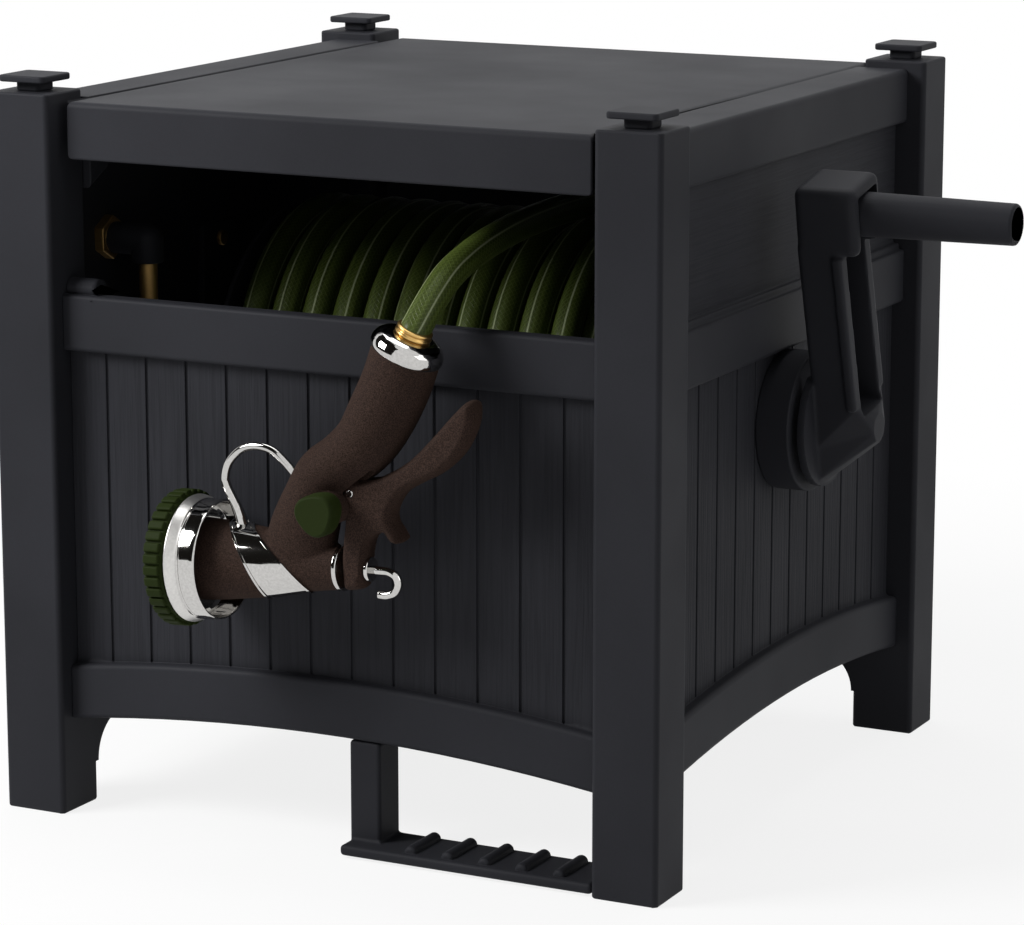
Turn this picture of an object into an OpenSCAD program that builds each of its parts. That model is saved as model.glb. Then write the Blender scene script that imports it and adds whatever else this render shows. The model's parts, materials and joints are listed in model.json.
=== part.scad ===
// Hose reel box: a square cabinet on four posts with a cranked hose reel,
// a hinged lid, a foot step, and a spray nozzle on the free end of the hose.
// The box is laid out about its own middle, +X to the crank, -Y to the front,
// and place() then moves it so that the origin is under the middle of its bounds.

/* [Box] */
// Width of the box over the posts
box_w = 540; // [500:5:600]
// Depth of the box over the posts
box_d = 538; // [500:2:600]
// Height of the posts
post_h = 542; // [520:2:580]
// Width of a post seen from the front
post_w = 51; // [46:1:56]
// Depth of a post
post_d = 48; // [44:1:54]
// Wall of the hollow posts
post_wall = 3.5; // [2.5:0.5:5]
// Radius of the posts' upright edges
post_r = 4; // [2:0.5:6]
// Side of a post cap
cap_w = 39; // [32:1:44]
// Thickness of a post cap
cap_t = 5; // [3:0.5:8]
// Width of the neck under a cap
cap_neck_w = 21; // [14:1:26]
// Height of the neck under a cap
cap_neck_h = 7; // [4:1:12]

/* [Walls] */
// How far the rails stand back from the post faces
rail_recess = 14; // [10:1:18]
// How far the planks stand back from the rails
plank_recess = 9; // [6:1:12]
// Thickness of the plank panels
panel_t = 4; // [3:0.5:6]
// Height of every rail
rail_h = 42; // [36:1:48]
// How far the mid rail's lower edge lies under the post tops
mid_rail_drop = 190; // [177:1:202]
// Lower edge of the arched rail at its ends
arch_z = 71; // [60:1:85]
// Rise of the arched rail at mid span
arch_rise = 15; // [8:1:24]
// Distance between the plank grooves
groove_pitch = 34; // [28:1:42]
// Width of a plank groove
groove_w = 2.2; // [1.5:0.1:3]
// Depth of a plank groove
groove_t = 1.6; // [1:0.1:2]
// Height of the small ledge on top of the side mid rails
ledge_h = 5; // [3:0.5:8]

/* [Lid] */
// Distance from the box's side to the lid
lid_strip = 58.5; // [56:0.5:62.5]
// Thickness of the lid's skin
lid_t = 4; // [3:0.5:5]
// How far the lid's top lies under the post tops
lid_drop = 6; // [3:1:10]
// Gap between the lid and the side rails
lid_gap = 2; // [1.5:0.5:4]
// Diameter of the lid's hinge pins
hinge_d = 8; // [6:0.5:10]

/* [Reel] */
// How far the reel's axis lies under the post tops
axis_drop = 244; // [238:1:254]
// Outer diameter of the drum
drum_d = 140; // [110:2:160]
// Diameter of the reel's flanges
flange_d = 270; // [256:2:280]
// Thickness of the flanges
flange_t = 4; // [3:0.5:6]
// Distance from the box's side to the inner face of a flange
reel_side = 108; // [104:1:111]
// Diameter of the drive shaft
shaft_d = 30; // [24:1:34]
// Diameter of the swivel tube
swivel_d = 26; // [22:1:30]
// Diameter of the round bearing on the right wall
bearing_d = 104; // [94:1:106]
// How far the bearing stands out of the planks
bearing_l = 26; // [20:1:28]

/* [Hose] */
// Outer diameter of the hose
hose_d = 22; // [20:0.5:22.5]
// Radius of the wound outer layer at the middle of the hose
wind_r = 132; // [128:1:133]
// Distance between two turns of the outer layer
wind_pitch = 26; // [25:0.5:27]

/* [Crank] */
// Distance from the shaft to the grip
crank_l = 166; // [150:1:175]
// Width of the crank arm
arm_w = 50; // [48:1:56]
// Thickness of the crank arm
arm_t = 41; // [39:1:46]
// Thickness of the arm's head
head_t = 48; // [46:1:54]
// Width of the channel that takes the folded grip
channel_w = 35; // [34.5:0.5:37]
// Diameter of the hub flange
hub_d = 95; // [86:1:100]
// Diameter of the grip at its root
grip_d = 33; // [30:0.5:33.5]
// Reach of the grip from its pivot
grip_l = 137; // [120:1:138]
// Lean of the arm towards the front, in degrees
crank_lean = 12; // [0:1:30]

/* [Foot step] */
// Width of the step from its arm to the post
step_w = 202; // [180:1:208]
// Depth of the step
step_d = 47; // [40:1:50]
// Thickness of the step's plate
step_t = 8; // [6:0.5:10]
// Width of the step's arm
step_arm_w = 25; // [18:1:32]
// Diameter of the half round treads
tread_d = 10; // [8:0.5:13]

/* [Nozzle] */
// Length of the barrel behind the head
barrel_l = 98; // [90:1:104]
// Radius of the barrel at the head
barrel_r = 28; // [25:0.5:29]
// Radius of the barrel at its rear
barrel_tail_r = 15.5; // [14:0.5:17]
// Diameter of the pattern dial
dial_d = 99; // [92:1:100]
// Width of the pattern dial
dial_w = 16; // [12:0.5:18]
// Width of the chrome head behind the dial
bezel_w = 26; // [20:0.5:28]
// Radius of the handle at the collar
handle_r = 24.5; // [22:0.5:25.5]
// Diameter of the nozzle's collar
collar_d = 52; // [50.5:0.5:54]
// Length of the trigger's lever from its pin
lever_l = 118; // [110:1:122]
// Thickness of the trigger
trigger_t = 24; // [22:0.5:26]
// Diameter of the trigger pin
trigger_pin_d = 5; // [4:0.5:6]
// Diameter of the flow knob
knob_d = 28; // [24:0.5:30]
// Diameter of the valve stem
stem_d = 10; // [8:0.5:10.5]
// Diameter of the chrome wire
wire_d = 5; // [4:0.5:6]

/* [Hidden] */
$fn = 96;

// Clearances and the overrun of every cut
over = 1;
fit = 0.05;
seat = 0.3;

// Colours
charcoal = [0.17, 0.17, 0.19];
brass = [0.72, 0.53, 0.25];
chrome = [0.8, 0.8, 0.82];
rubber = [0.24, 0.2, 0.18];
green = [0.2, 0.3, 0.13];
steel = [0.6, 0.6, 0.62];

// Planes of the box
in_x = box_w / 2 - post_w;
in_y = box_d / 2 - post_d;
face_x = box_w / 2 - rail_recess;
face_y = box_d / 2 - rail_recess;
rail_t = plank_recess + panel_t;
plank_x = face_x - plank_recess;
inner_x = face_x - rail_t;
mid_rail_z = post_h - mid_rail_drop;
mid_top_z = mid_rail_z + rail_h;
axis_z = post_h - axis_drop;
lid_w = box_w - lid_strip * 2;
lid_z = post_h - lid_drop;
apron_z = lid_z - rail_h;
post_x = (box_w - post_w) / 2;
post_y = (box_d - post_d) / 2;

// Arches and grooves
arch_fn = 360;
groove_count = floor((in_x - post_r) * 2 / groove_pitch);
fin_r = 32;
fin_z = 30;
lug_d = 15;
lug_hole_d = 6;
lug_l = 26;
chamfer_w = 26;

// Lid and its hinge
hinge_back = 9;
hinge_ear_d = 18;
hinge_ear_l = 30;
hinge_boss_l = 16;
hinge_y = face_y - hinge_back;
hinge_z = lid_z - rail_h + hinge_back + panel_t;
rear_drop = 4;
rear_top_z = hinge_z - hinge_ear_d / 2 - rear_drop;
lid_ledge_w = 12;
lid_ledge_h = 8;
lid_rib_t = 3;
lid_rib_h = 10;
lid_rib_share = 0.5;

// Bearing, reel and water joint
bearing_wall = 4;
bearing_sleeve_d = shaft_d + bearing_wall * 3;
bearing_spigot_d = 60;
bearing_spigot_l = 18;
hub_boss_d = 60;
hub_boss_l = 16;
drum_wall = 4;
shaft_bore_d = 18;
shaft_nose = 32;
reel_w = box_w - reel_side * 2;
reel_x = reel_w / 2;
flange_out_x = reel_x + flange_t;
bracket_w = 50;
bracket_foot = 78;
bracket_head = 115;
bracket_t = 6;
bracket_screw_d = 6;
bracket_screw_head_d = 12;
bracket_screw_head_t = 4;
bracket_screws_at = [-62, 102];
swivel_body_d = 46;
swivel_body_x = flange_out_x + hub_boss_l + drum_wall;
swivel_bore_d = 14;
swivel_overlap = 34;
seal_w = 4;
seal_t = 4;
seal_in = 8;
bracket_x = inner_x - bracket_t;

// Water inlet on the left wall
inlet_in = 97;
inlet_y = inlet_in - face_y;
inlet_rise = 28;
inlet_z = mid_top_z + inlet_rise;
inlet_thread_d = 26.8;
inlet_thread_l = 17;
inlet_bore_d = 16;
inlet_flange_d = 38;
inlet_flange_t = 4;
inlet_stub_d = 22;
inlet_nut_d = 34;
inlet_nut_t = 8;
inlet_pipe_d = 14;
inlet_pipe_bore_d = 10;
inlet_run_in = 38;
inlet_run_x = inner_x - inlet_run_in;
inlet_elbow_d = 24;
inlet_elbow_drop = 17;
inlet_bend_r = 36;
nut_sides = 6;

// Wound hose: one tube over a plain core
hose_r = hose_d / 2;
loop_rings = 24;
tube_sides = 6;
wind_left_gap = 2;
wind_left = -reel_x + hose_r + wind_left_gap;
wind_right_gap = 36;
wind_span = reel_w - hose_d - wind_left_gap - wind_right_gap + hose_r;
wind_turns = wind_span / wind_pitch;
core_gap = 0.3;
core_r = (wind_r - hose_r) * cos(180 / loop_rings) - core_gap;
core_side_gap = 0.5;

// Free hose: from the lane beside the last turn over the outer layer to the nozzle
lead_sides = 8;
lane_x = reel_x - hose_r - core_side_gap * 2;
lane_rise = 2;
lane_r = wind_r + lane_rise;
wrap_step = 10;
lead_r = (wind_r + hose_d + seat) / cos(wrap_step / 2);
leave_x = 98;
wrap_start = -100;
wrap_end = 90;
climb_from = -60;
climb_to = -5;
cross_from = -35;
free_start = [98, 0, 157];
free_points = [[98, -40, 157], [98, -80, 157], [99, -120, 156], [101, -160, 154], [103, -200, 150],
    [103, -230, 144], [102, -256, 135], [101, -279, 121], [98, -299, 102]];

// Crank
crank_gap = 8;
crank_x = box_w / 2 + crank_gap;
hub_flange_t = 6;
hub_nose_d = 24;
arm_back_t = 6;
arm_bevel = 6;
pocket_gap = 0.8;
pivot_x = crank_x + arm_back_t + grip_d / 2 + pocket_gap;
head_top = 25;
head_foot = 24;
channel_foot = 26;
slot_h = 24;
grip_tip_share = 0.91;
grip_bore_share = 0.7;
grip_bore_l = 90;
grip_pin_d = 8;
nose_l = 46;
nose_x = crank_x + nose_l;
screw_d = 8;
screw_head_d = 17;
screw_head_t = 6;
screw_l = 26;

// Foot step
step_z = 2;
step_back = 1;
step_lip = 5;
step_arm_back = 16;
step_seat = 1;
tread_count = 5;
tread_first_share = 0.272;
tread_pitch_share = 0.147;

// Nozzle: its own frame has the barrel along X and hangs in front of the mid rail
nozzle_out = 44;
nozzle_y = -face_y - nozzle_out;
nozzle_drop = 128;
nozzle_z = mid_rail_z - nozzle_drop;
nozzle_tilt = 2.8;
barrel_x0 = -55;
barrel_x1 = barrel_x0 + barrel_l;
barrel_shares = [[0, 1], [0.38, 0.86], [0.71, 0.64], [1, 0.554]];
spigot_r = 12;
spigot_clear = 6;
spigot_l = bezel_w + dial_w - spigot_clear;
knee = [31, 54];
knee_r = 27;
neck_foot = [16, 4];
neck_foot_r = 15;
handle_bend = [74, 107];
handle_end = [98.5, 155];
collar_l = 17;
collar_wall = 4;
coupling_wall = 2.7;
coupling_floor = 2.5;
coupling_l = 10;
band_t = 1.5;
band_gap = 0.1;
band_lean_a = 30;
band_lean_b = 45;
band_x = -36;
band_w = 26;
ring_w = 2;
ring_t = 1;
bezel_edge = 3;
bezel_gap = 0.4;
bezel_r = 45;
dial_rib_count = 28;
dial_rib_w = 5;
dial_rib_t = 2;
dial_face_t = 5;
spray_holes = 8;
spray_hole_d = 5;
spray_ring_r = 32;
pin_at = [55, 56];
tongue_t = 12;
slot_gap = 0.3;
pocket_r = 24.5;
pocket_back = 9.5;
slot_drop = 38;
trigger_shares = [[-0.05, 0.085], [0.03, 0.1], [0.22, 0.085], [0.4, 0.2], [0.56, 0.35], [0.69, 0.49],
    [0.79, 0.58], [0.85, 0.57], [0.84, 0.42], [0.75, 0.26], [0.6, 0.13], [0.44, 0.05], [0.33, -0.02],
    [0.28, -0.08], [0.265, -0.14], [0.325, -0.3], [0.265, -0.3], [0.21, -0.24], [0.15, -0.25], [0.11, -0.31],
    [0.09, -0.41], [0.075, -0.58], [-0.06, -0.58], [-0.065, -0.36], [-0.045, -0.16], [-0.075, -0.06]];
stem_hole_share = 1.7;
stem_hole_d = stem_d * stem_hole_share;
stem_nut_share = 0.1;
stem_nut_d = 18;
stem_nut_t = 4;
stem_in = 40;
hook_r = 8.5;
hook_run = 12;
hook_tail = 6;
knob_at = [43, 46];
knob_seat_y = knee_r + seat * 2;
knob_l = 16;
knob_edge = 3;
knob_stub_d = 10;
knob_stub_l = 8;
loop_at = [-26, 57];
loop_r = 27;
loop_from = 35;
loop_sweep = 150;
loop_foot = [-43.5, 29.6];
loop_tail = [6.5, 67];

// The collar's mouth, where the hose ends, seen from the box
function nozzle_place(p) = [p[0] * cos(nozzle_tilt) - p[1] * sin(nozzle_tilt), nozzle_y,
    nozzle_z + p[0] * sin(nozzle_tilt) + p[1] * cos(nozzle_tilt)];
collar_lean = atan2(handle_end[0] - handle_bend[0], handle_end[1] - handle_bend[1]);
collar_mouth = nozzle_place(handle_end + collar_l * [sin(collar_lean), cos(collar_lean)]);

// The box's bounds run from the left posts to the tip of the grip
grip_tip_x = pivot_x + grip_l;
middle_x = (grip_tip_x - box_w / 2) / 2;

module place() { translate([-middle_x, 0, 0]) children(); }

// Flat shapes and frames

module rounded_square(w, d, r) {
    square([w - r * 2, d], center = true);
    square([w, d - r * 2], center = true);
    for (sx = [-1, 1], sy = [-1, 1])
        translate([sx * (w / 2 - r), sy * (d / 2 - r)]) circle(r = r);
}

// A flat outline in X and Z, t thick, its outer face at y
module slab(y, t) { translate([0, y + t, 0]) rotate([90, 0, 0]) linear_extrude(t) children(); }

// A round bar along X from x0, l long
module bar_x(x0, l, d) { translate([x0, 0, 0]) rotate([0, 90, 0]) cylinder(d = d, h = l); }

// A round bar along Y from y0, l long
module bar_y(y0, l, d) { translate([0, y0 + l, 0]) rotate([90, 0, 0]) cylinder(d = d, h = l); }

module on_axis() { translate([0, 0, axis_z]) children(); }

module crank_frame() { on_axis() rotate([crank_lean, 0, 0]) children(); }

module nozzle_frame() { translate([0, nozzle_y, nozzle_z]) rotate([0, -nozzle_tilt, 0]) children(); }

// A hand picked place in the nozzle's own plane
module at_nozzle(p) { translate([p[0], 0, p[1]]) children(); }

// Posts and caps

// A fin inside the box, flush with a post's inner face and hollowed below: along is where it leaves
// the post, across is the plane of the face
module fin(along, across) {
    slab(across, post_wall) translate([along, 0]) mirror([1, 0]) difference() {
        translate([-post_wall, fin_z]) square([fin_r + post_wall + over, arch_z + arch_rise - fin_z]);
        translate([fin_r + over, fin_z]) circle(r = fin_r);
    }
}

module post(sx, sy) {
    rear = sy > 0;
    difference() {
        union() {
            difference() {
                translate([sx * post_x, sy * post_y, 0]) linear_extrude(post_h)
                    rounded_square(post_w, post_d, post_r);
                translate([sx * post_x, sy * post_y, -over]) linear_extrude(post_h - post_wall + over)
                    square([post_w - post_wall * 2, post_d - post_wall * 2], center = true);
            }
            mirror([sx < 0 ? 1 : 0, 0, 0]) {
                if (rear) fin(in_x, in_y);
                else mirror([0, 1, 0]) mirror([1, -1, 0]) fin(in_y, in_x);
            }
            if (rear) mirror([sx < 0 ? 1 : 0, 0, 0]) translate([0, hinge_y, hinge_z])
                bar_x(in_x + post_wall / 2, hinge_boss_l, hinge_ear_d);
        }
        if (rear) mirror([sx < 0 ? 1 : 0, 0, 0]) translate([0, hinge_y, hinge_z])
            bar_x(in_x - over, hinge_boss_l + over, hinge_d + fit * 2);
    }
}

module post_front_left() { color(charcoal) place() post(-1, -1); }

module post_front_right() { color(charcoal) place() post(1, -1); }

module post_rear_left() { color(charcoal) place() post(-1, 1); }

module post_rear_right() { color(charcoal) place() post(1, 1); }

module post_caps() {
    color(charcoal) place() for (sx = [-1, 1], sy = [-1, 1])
        translate([sx * post_x, sy * post_y, post_h]) {
            linear_extrude(cap_neck_h) rounded_square(cap_neck_w, cap_neck_w, post_r);
            translate([0, 0, cap_neck_h]) linear_extrude(cap_t) rounded_square(cap_w, cap_w, post_r);
        }
}

// Walls

// Radius of the arch over a span
function arch_radius(span) = (span * span / 4 + arch_rise * arch_rise) / (arch_rise * 2);

// Everything under the arch, raised by up
module under_arch(span, up) {
    r = arch_radius(span);
    translate([0, arch_z + arch_rise + up - r]) circle(r = r, $fn = arch_fn);
}

module arch_rail_outline(span) {
    difference() {
        intersection() {
            translate([-span / 2, 0]) square([span, mid_rail_z]);
            under_arch(span, rail_h);
        }
        under_arch(span, 0);
    }
}

module plank_outline(span, top) {
    difference() {
        translate([-span / 2, 0]) square([span, top]);
        under_arch(span, 0);
    }
}

// A wall with its outer face on y = 0 and its inside towards +Y
module wall(span, top) {
    difference() {
        slab(plank_recess, panel_t) plank_outline(span, top);
        for (i = [0 : groove_count - 1])
            translate([(i - (groove_count - 1) / 2) * groove_pitch, plank_recess - over, arch_z])
                translate([-groove_w / 2, 0, 0]) cube([groove_w, groove_t + over, mid_rail_z - arch_z]);
    }
    slab(0, rail_t) arch_rail_outline(span);
    slab(0, rail_t) translate([-span / 2, mid_rail_z]) square([span, rail_h]);
}

module front_panel() {
    color(charcoal) place() difference() {
        union() {
            translate([0, -face_y, 0]) wall(in_x * 2, mid_top_z);
            translate([0, -face_y + rail_t, mid_top_z + lug_d / 4]) bar_x(-in_x, lug_l, lug_d);
        }
        translate([0, -face_y + rail_t, mid_top_z + lug_d / 4])
            bar_x(-in_x + lug_l / 2, lug_l / 2 + over, lug_hole_d);
    }
}

module rear_panel() {
    color(charcoal) place() rotate([0, 0, 180]) translate([0, -face_y, 0]) {
        wall(in_x * 2, rear_top_z);
        slab(0, rail_t) translate([-in_x, rear_top_z - rail_h]) square([in_x * 2, rail_h]);
    }
}

// A side wall: its top rail is a channel open below, with a ledge that the lid rests on
module side_wall() {
    span = in_y * 2;
    rail_w = face_x - lid_w / 2 - lid_gap;
    translate([0, -face_x, 0]) {
        wall(span, lid_z - panel_t);
        translate([-span / 2, plank_recess / 2, mid_top_z]) cube([span, rail_t - plank_recess / 2, ledge_h]);
        difference() {
            translate([-span / 2, 0, apron_z]) cube([span, rail_w, rail_h]);
            translate([-span / 2 - over, rail_t, apron_z - over])
                cube([span + over * 2, rail_w - rail_t - panel_t, rail_h - panel_t + over]);
        }
        translate([-span / 2, rail_w - panel_t, lid_z - lid_t - seat - lid_ledge_h])
            cube([span, lid_ledge_w + panel_t, lid_ledge_h]);
        for (s = [-1, 1]) mirror([s < 0 ? 1 : 0, 0, 0])
            slab(plank_recess, rail_w - plank_recess) polygon([[span / 2, apron_z + panel_t],
                [span / 2, apron_z - chamfer_w], [span / 2 - chamfer_w, apron_z - chamfer_w / 2],
                [span / 2 - chamfer_w, apron_z + panel_t]]);
    }
}

module left_panel() {
    color(charcoal) place() difference() {
        rotate([0, 0, -90]) side_wall();
        translate([0, inlet_y, inlet_z]) bar_x(-face_x, rail_t + over, inlet_stub_d + seat * 2);
        for (up = bracket_screws_at) translate([0, 0, axis_z + up])
            bar_x(-inner_x - panel_t * 2, panel_t * 2 + over, bracket_screw_d + fit * 2);
    }
}

module right_panel() {
    color(charcoal) place() difference() {
        rotate([0, 0, 90]) side_wall();
        on_axis() bar_x(inner_x - over, rail_t + over, bearing_spigot_d + seat * 2);
    }
}

// Lid, hinged at the rear on two pins that sit in the rear posts

module lid() {
    color(charcoal) place() difference() {
        union() {
            translate([-lid_w / 2, -face_y, lid_z - lid_t]) cube([lid_w, face_y * 2, lid_t]);
            translate([-lid_w / 2, -face_y, apron_z]) cube([lid_w, lid_t, rail_h]);
            translate([-lid_w / 2, face_y - lid_t, hinge_z - hinge_back])
                cube([lid_w, lid_t, lid_z - hinge_z + hinge_back]);
            for (s = [-1, 0, 1])
                translate([s * lid_w / 2 * lid_rib_share - lid_rib_t / 2, -face_y, lid_z - lid_t - lid_rib_h])
                    cube([lid_rib_t, face_y * 2, lid_rib_h + lid_t / 2]);
            for (s = [-1, 1]) mirror([s < 0 ? 1 : 0, 0, 0]) {
                translate([0, hinge_y, hinge_z]) bar_x(lid_w / 2 - hinge_ear_l, hinge_ear_l, hinge_ear_d);
                translate([lid_w / 2 - hinge_ear_l, hinge_y - lid_t / 2, hinge_z])
                    cube([hinge_ear_l, lid_t, lid_z - hinge_z - lid_t / 2]);
            }
        }
        for (s = [-1, 1]) mirror([s < 0 ? 1 : 0, 0, 0]) translate([0, hinge_y, hinge_z])
            bar_x(lid_w / 2 - hinge_ear_l - over, hinge_ear_l + over * 2, hinge_d + fit * 2);
    }
}

module lid_hinge_pins() {
    color(steel) place() for (s = [-1, 1]) mirror([s < 0 ? 1 : 0, 0, 0]) translate([0, hinge_y, hinge_z])
        bar_x(lid_w / 2 - hinge_ear_l, in_x + hinge_boss_l - lid_w / 2 + hinge_ear_l, hinge_d);
}

// Foot step: a ribbed plate on an arm that hooks behind the arched rail

module foot_step() {
    x0 = in_x - step_w;
    y0 = -box_d / 2 + step_back;
    back_y = y0 + step_d;
    arm_y = y0 + step_arm_back;
    arm_top = arch_z + rail_h;
    hook_y = -face_y + rail_t;
    color(charcoal) place() {
        translate([x0, y0, step_z]) cube([step_w, step_d, step_t]);
        translate([x0, hook_y, step_z]) cube([step_arm_w, back_y - hook_y, arm_top]);
        translate([x0, arm_y, step_z])
            cube([step_arm_w, back_y - arm_y, arch_z + arch_rise - step_z - step_seat]);
        for (i = [0 : tread_count - 1]) intersection() {
            translate([x0 + step_w * (tread_first_share + i * tread_pitch_share), 0, step_z + step_t])
                bar_y(y0 + step_lip, step_d - step_lip, tread_d);
            translate([x0, y0, step_z]) cube([step_w, step_d, step_t + tread_d]);
        }
    }
}

// Bearing of the drive shaft: a cup on the planks with a sleeve through the right wall

module crank_bearing() {
    color(charcoal) place() on_axis() difference() {
        union() {
            bar_x(plank_x, bearing_l, bearing_d);
            bar_x(plank_x - bearing_spigot_l, bearing_spigot_l + over, bearing_spigot_d);
        }
        bar_x(plank_x - bearing_spigot_l - over, bearing_l + bearing_spigot_l + over * 2, shaft_d + fit * 2);
        difference() {
            bar_x(plank_x - bearing_spigot_l - over, bearing_l + bearing_spigot_l - bearing_wall + over,
                bearing_spigot_d - bearing_wall * 2);
            bar_x(plank_x - bearing_spigot_l - over * 2, bearing_l + bearing_spigot_l, bearing_sleeve_d);
        }
    }
}

// Water joint on the left wall: a fixed body on a bracket, and a tube that turns in it

module swivel_bracket() {
    color(charcoal) place() difference() {
        translate([-inner_x, -bracket_w / 2, axis_z - bracket_foot])
            cube([bracket_t, bracket_w, bracket_foot + bracket_head]);
        for (up = bracket_screws_at) translate([0, 0, axis_z + up])
            bar_x(-inner_x - over, bracket_t + over * 2, bracket_screw_d + fit * 2);
    }
}

module bracket_screws() {
    color(brass) place() for (up = bracket_screws_at) translate([0, 0, axis_z + up]) {
        bar_x(-inner_x - panel_t / 2, bracket_t + panel_t / 2, bracket_screw_d);
        bar_x(-bracket_x, bracket_screw_head_t, bracket_screw_head_d);
    }
}

module swivel_body() {
    color(brass) place() difference() {
        union() {
            on_axis() bar_x(-bracket_x, bracket_x - swivel_body_x, swivel_body_d);
            translate([-inlet_run_x, 0, axis_z])
                bar_y(-swivel_body_d / 2 - bracket_t, swivel_body_d / 2 + bracket_t, inlet_elbow_d);
        }
        on_axis() bar_x(-swivel_body_x - swivel_overlap, swivel_overlap + over, swivel_d + fit * 2);
        on_axis() bar_x(-swivel_body_x - seal_in - seal_w, seal_w, swivel_d + seal_t * 2);
        translate([-inlet_run_x, 0, axis_z])
            bar_y(-swivel_body_d / 2 - bracket_t - over, swivel_body_d / 2 + bracket_t, inlet_pipe_bore_d);
    }
}

module swivel_seal() {
    color([0.08, 0.08, 0.08]) place() on_axis() difference() {
        bar_x(-swivel_body_x - seal_in - seal_w + fit, seal_w - fit * 2, swivel_d + seal_t * 2 - fit * 2);
        bar_x(-swivel_body_x - seal_in - seal_w - over, seal_w + over * 2, swivel_d + fit * 2);
    }
}

module inlet_fitting() {
    color(brass) place() translate([0, inlet_y, inlet_z]) difference() {
        union() {
            bar_x(-plank_x - inlet_flange_t - inlet_thread_l, inlet_thread_l, inlet_thread_d);
            bar_x(-plank_x - inlet_flange_t, inlet_flange_t, inlet_flange_d);
            bar_x(-plank_x, panel_t + inlet_nut_t, inlet_stub_d);
        }
        bar_x(-box_w / 2, box_w / 2 - inlet_run_x, inlet_bore_d);
    }
}

module inlet_nut() {
    color(brass) place() translate([0, inlet_y, inlet_z]) difference() {
        translate([-inner_x, 0, 0]) rotate([0, 90, 0])
            cylinder(d = inlet_nut_d, h = inlet_nut_t, $fn = nut_sides);
        bar_x(-inner_x - over, inlet_nut_t + over * 2, inlet_stub_d + fit * 2);
    }
}

module inlet_elbow() {
    reach = inner_x - inlet_nut_t - inlet_run_x;
    color(charcoal) place() translate([-inlet_run_x, inlet_y, inlet_z]) difference() {
        union() {
            bar_x(-reach, reach, inlet_elbow_d);
            sphere(d = inlet_elbow_d);
            translate([0, 0, -inlet_elbow_drop]) cylinder(d = inlet_elbow_d, h = inlet_elbow_drop);
        }
        bar_x(-reach - over, reach + over, inlet_pipe_bore_d);
        translate([0, 0, -inlet_elbow_drop - over])
            cylinder(d = inlet_pipe_bore_d, h = inlet_elbow_drop + over);
    }
}

module inlet_pipe() {
    top_z = inlet_z - inlet_elbow_drop;
    bend_y = inlet_y + inlet_bend_r;
    bend_z = axis_z + inlet_bend_r;
    end_y = -swivel_body_d / 2 - bracket_t;
    color(brass) place() translate([-inlet_run_x, 0, 0]) {
        translate([0, inlet_y, bend_z]) linear_extrude(top_z - bend_z) pipe_section();
        translate([0, bend_y, bend_z]) rotate([90, 0, -90]) rotate([0, 0, -90])
            rotate_extrude(angle = 90) translate([inlet_bend_r, 0]) pipe_section();
        translate([0, end_y, axis_z]) rotate([90, 0, 0]) linear_extrude(end_y - bend_y) pipe_section();
    }
}

module pipe_section() {
    difference() {
        circle(d = inlet_pipe_d);
        circle(d = inlet_pipe_bore_d);
    }
}

// Reel: a drum between two flanges, carried by the swivel tube and the drive shaft

module reel_drum() {
    color(charcoal) place() on_axis() difference() {
        bar_x(-reel_x, reel_w, drum_d);
        bar_x(-reel_x - over, reel_w + over * 2, drum_d - drum_wall * 2);
    }
}

// A flange with its hub boss outwards, on the +X side
module flange(bore) {
    on_axis() difference() {
        union() {
            bar_x(reel_x, flange_t, flange_d);
            bar_x(reel_x, flange_t + hub_boss_l, hub_boss_d);
        }
        bar_x(reel_x - over, flange_t + hub_boss_l + over * 2, bore + fit * 2);
    }
}

module left_flange() { color(charcoal) place() mirror([1, 0, 0]) flange(swivel_d); }

module right_flange() { color(charcoal) place() flange(shaft_d); }

module swivel_tube() {
    tube_x = -swivel_body_x - swivel_overlap + over;
    color(brass) place() on_axis() difference() {
        bar_x(tube_x, -reel_x - tube_x, swivel_d);
        bar_x(tube_x - over, -reel_x - tube_x + over * 2, swivel_bore_d);
    }
}

module drive_shaft() {
    tip_x = nose_x - screw_head_t;
    color(steel) place() on_axis() difference() {
        bar_x(reel_x, tip_x - reel_x, shaft_d);
        bar_x(reel_x - over, tip_x - reel_x - shaft_nose + over, shaft_bore_d);
        bar_x(tip_x - screw_l - over, screw_l + over * 2, screw_d + fit * 2);
    }
}

// Wound hose

// Middle of the hose at ring i of the winding
function wind_at(i) = let (a = i * 360 / loop_rings)
    [wind_left + i / loop_rings * wind_pitch, wind_r * cos(a), axis_z + wind_r * sin(a)];
function unit(v) = v / norm(v);
wind_rings = floor(wind_turns * loop_rings);
wind_turn_points = [for (i = [0 : wind_rings]) wind_at(i)];
// Both ends run on straight for one hose diameter, along a chord that keeps to the winding's radius
end_rings = hose_d / (wind_r * PI * 2) * loop_rings;
wind_points = concat([wind_at(-end_rings)], wind_turn_points, [wind_at(wind_rings + end_rings)]);

// Direction of the path at point i
function heading(p, i) = unit(p[min(i + 1, len(p) - 1)] - p[max(i - 1, 0)]);
// One ring of a tube, square to the path, turned so that its first corner lies at an angle from the side
function ring(p, i, r, n, side, turn) =
    let (t = heading(p, i), u = unit(side - (side * t) * t), v = cross(t, u))
    [for (k = [0 : n - 1]) let (a = turn + k * 360 / n) p[i] + u * r * cos(a) + v * r * sin(a)];

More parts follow.
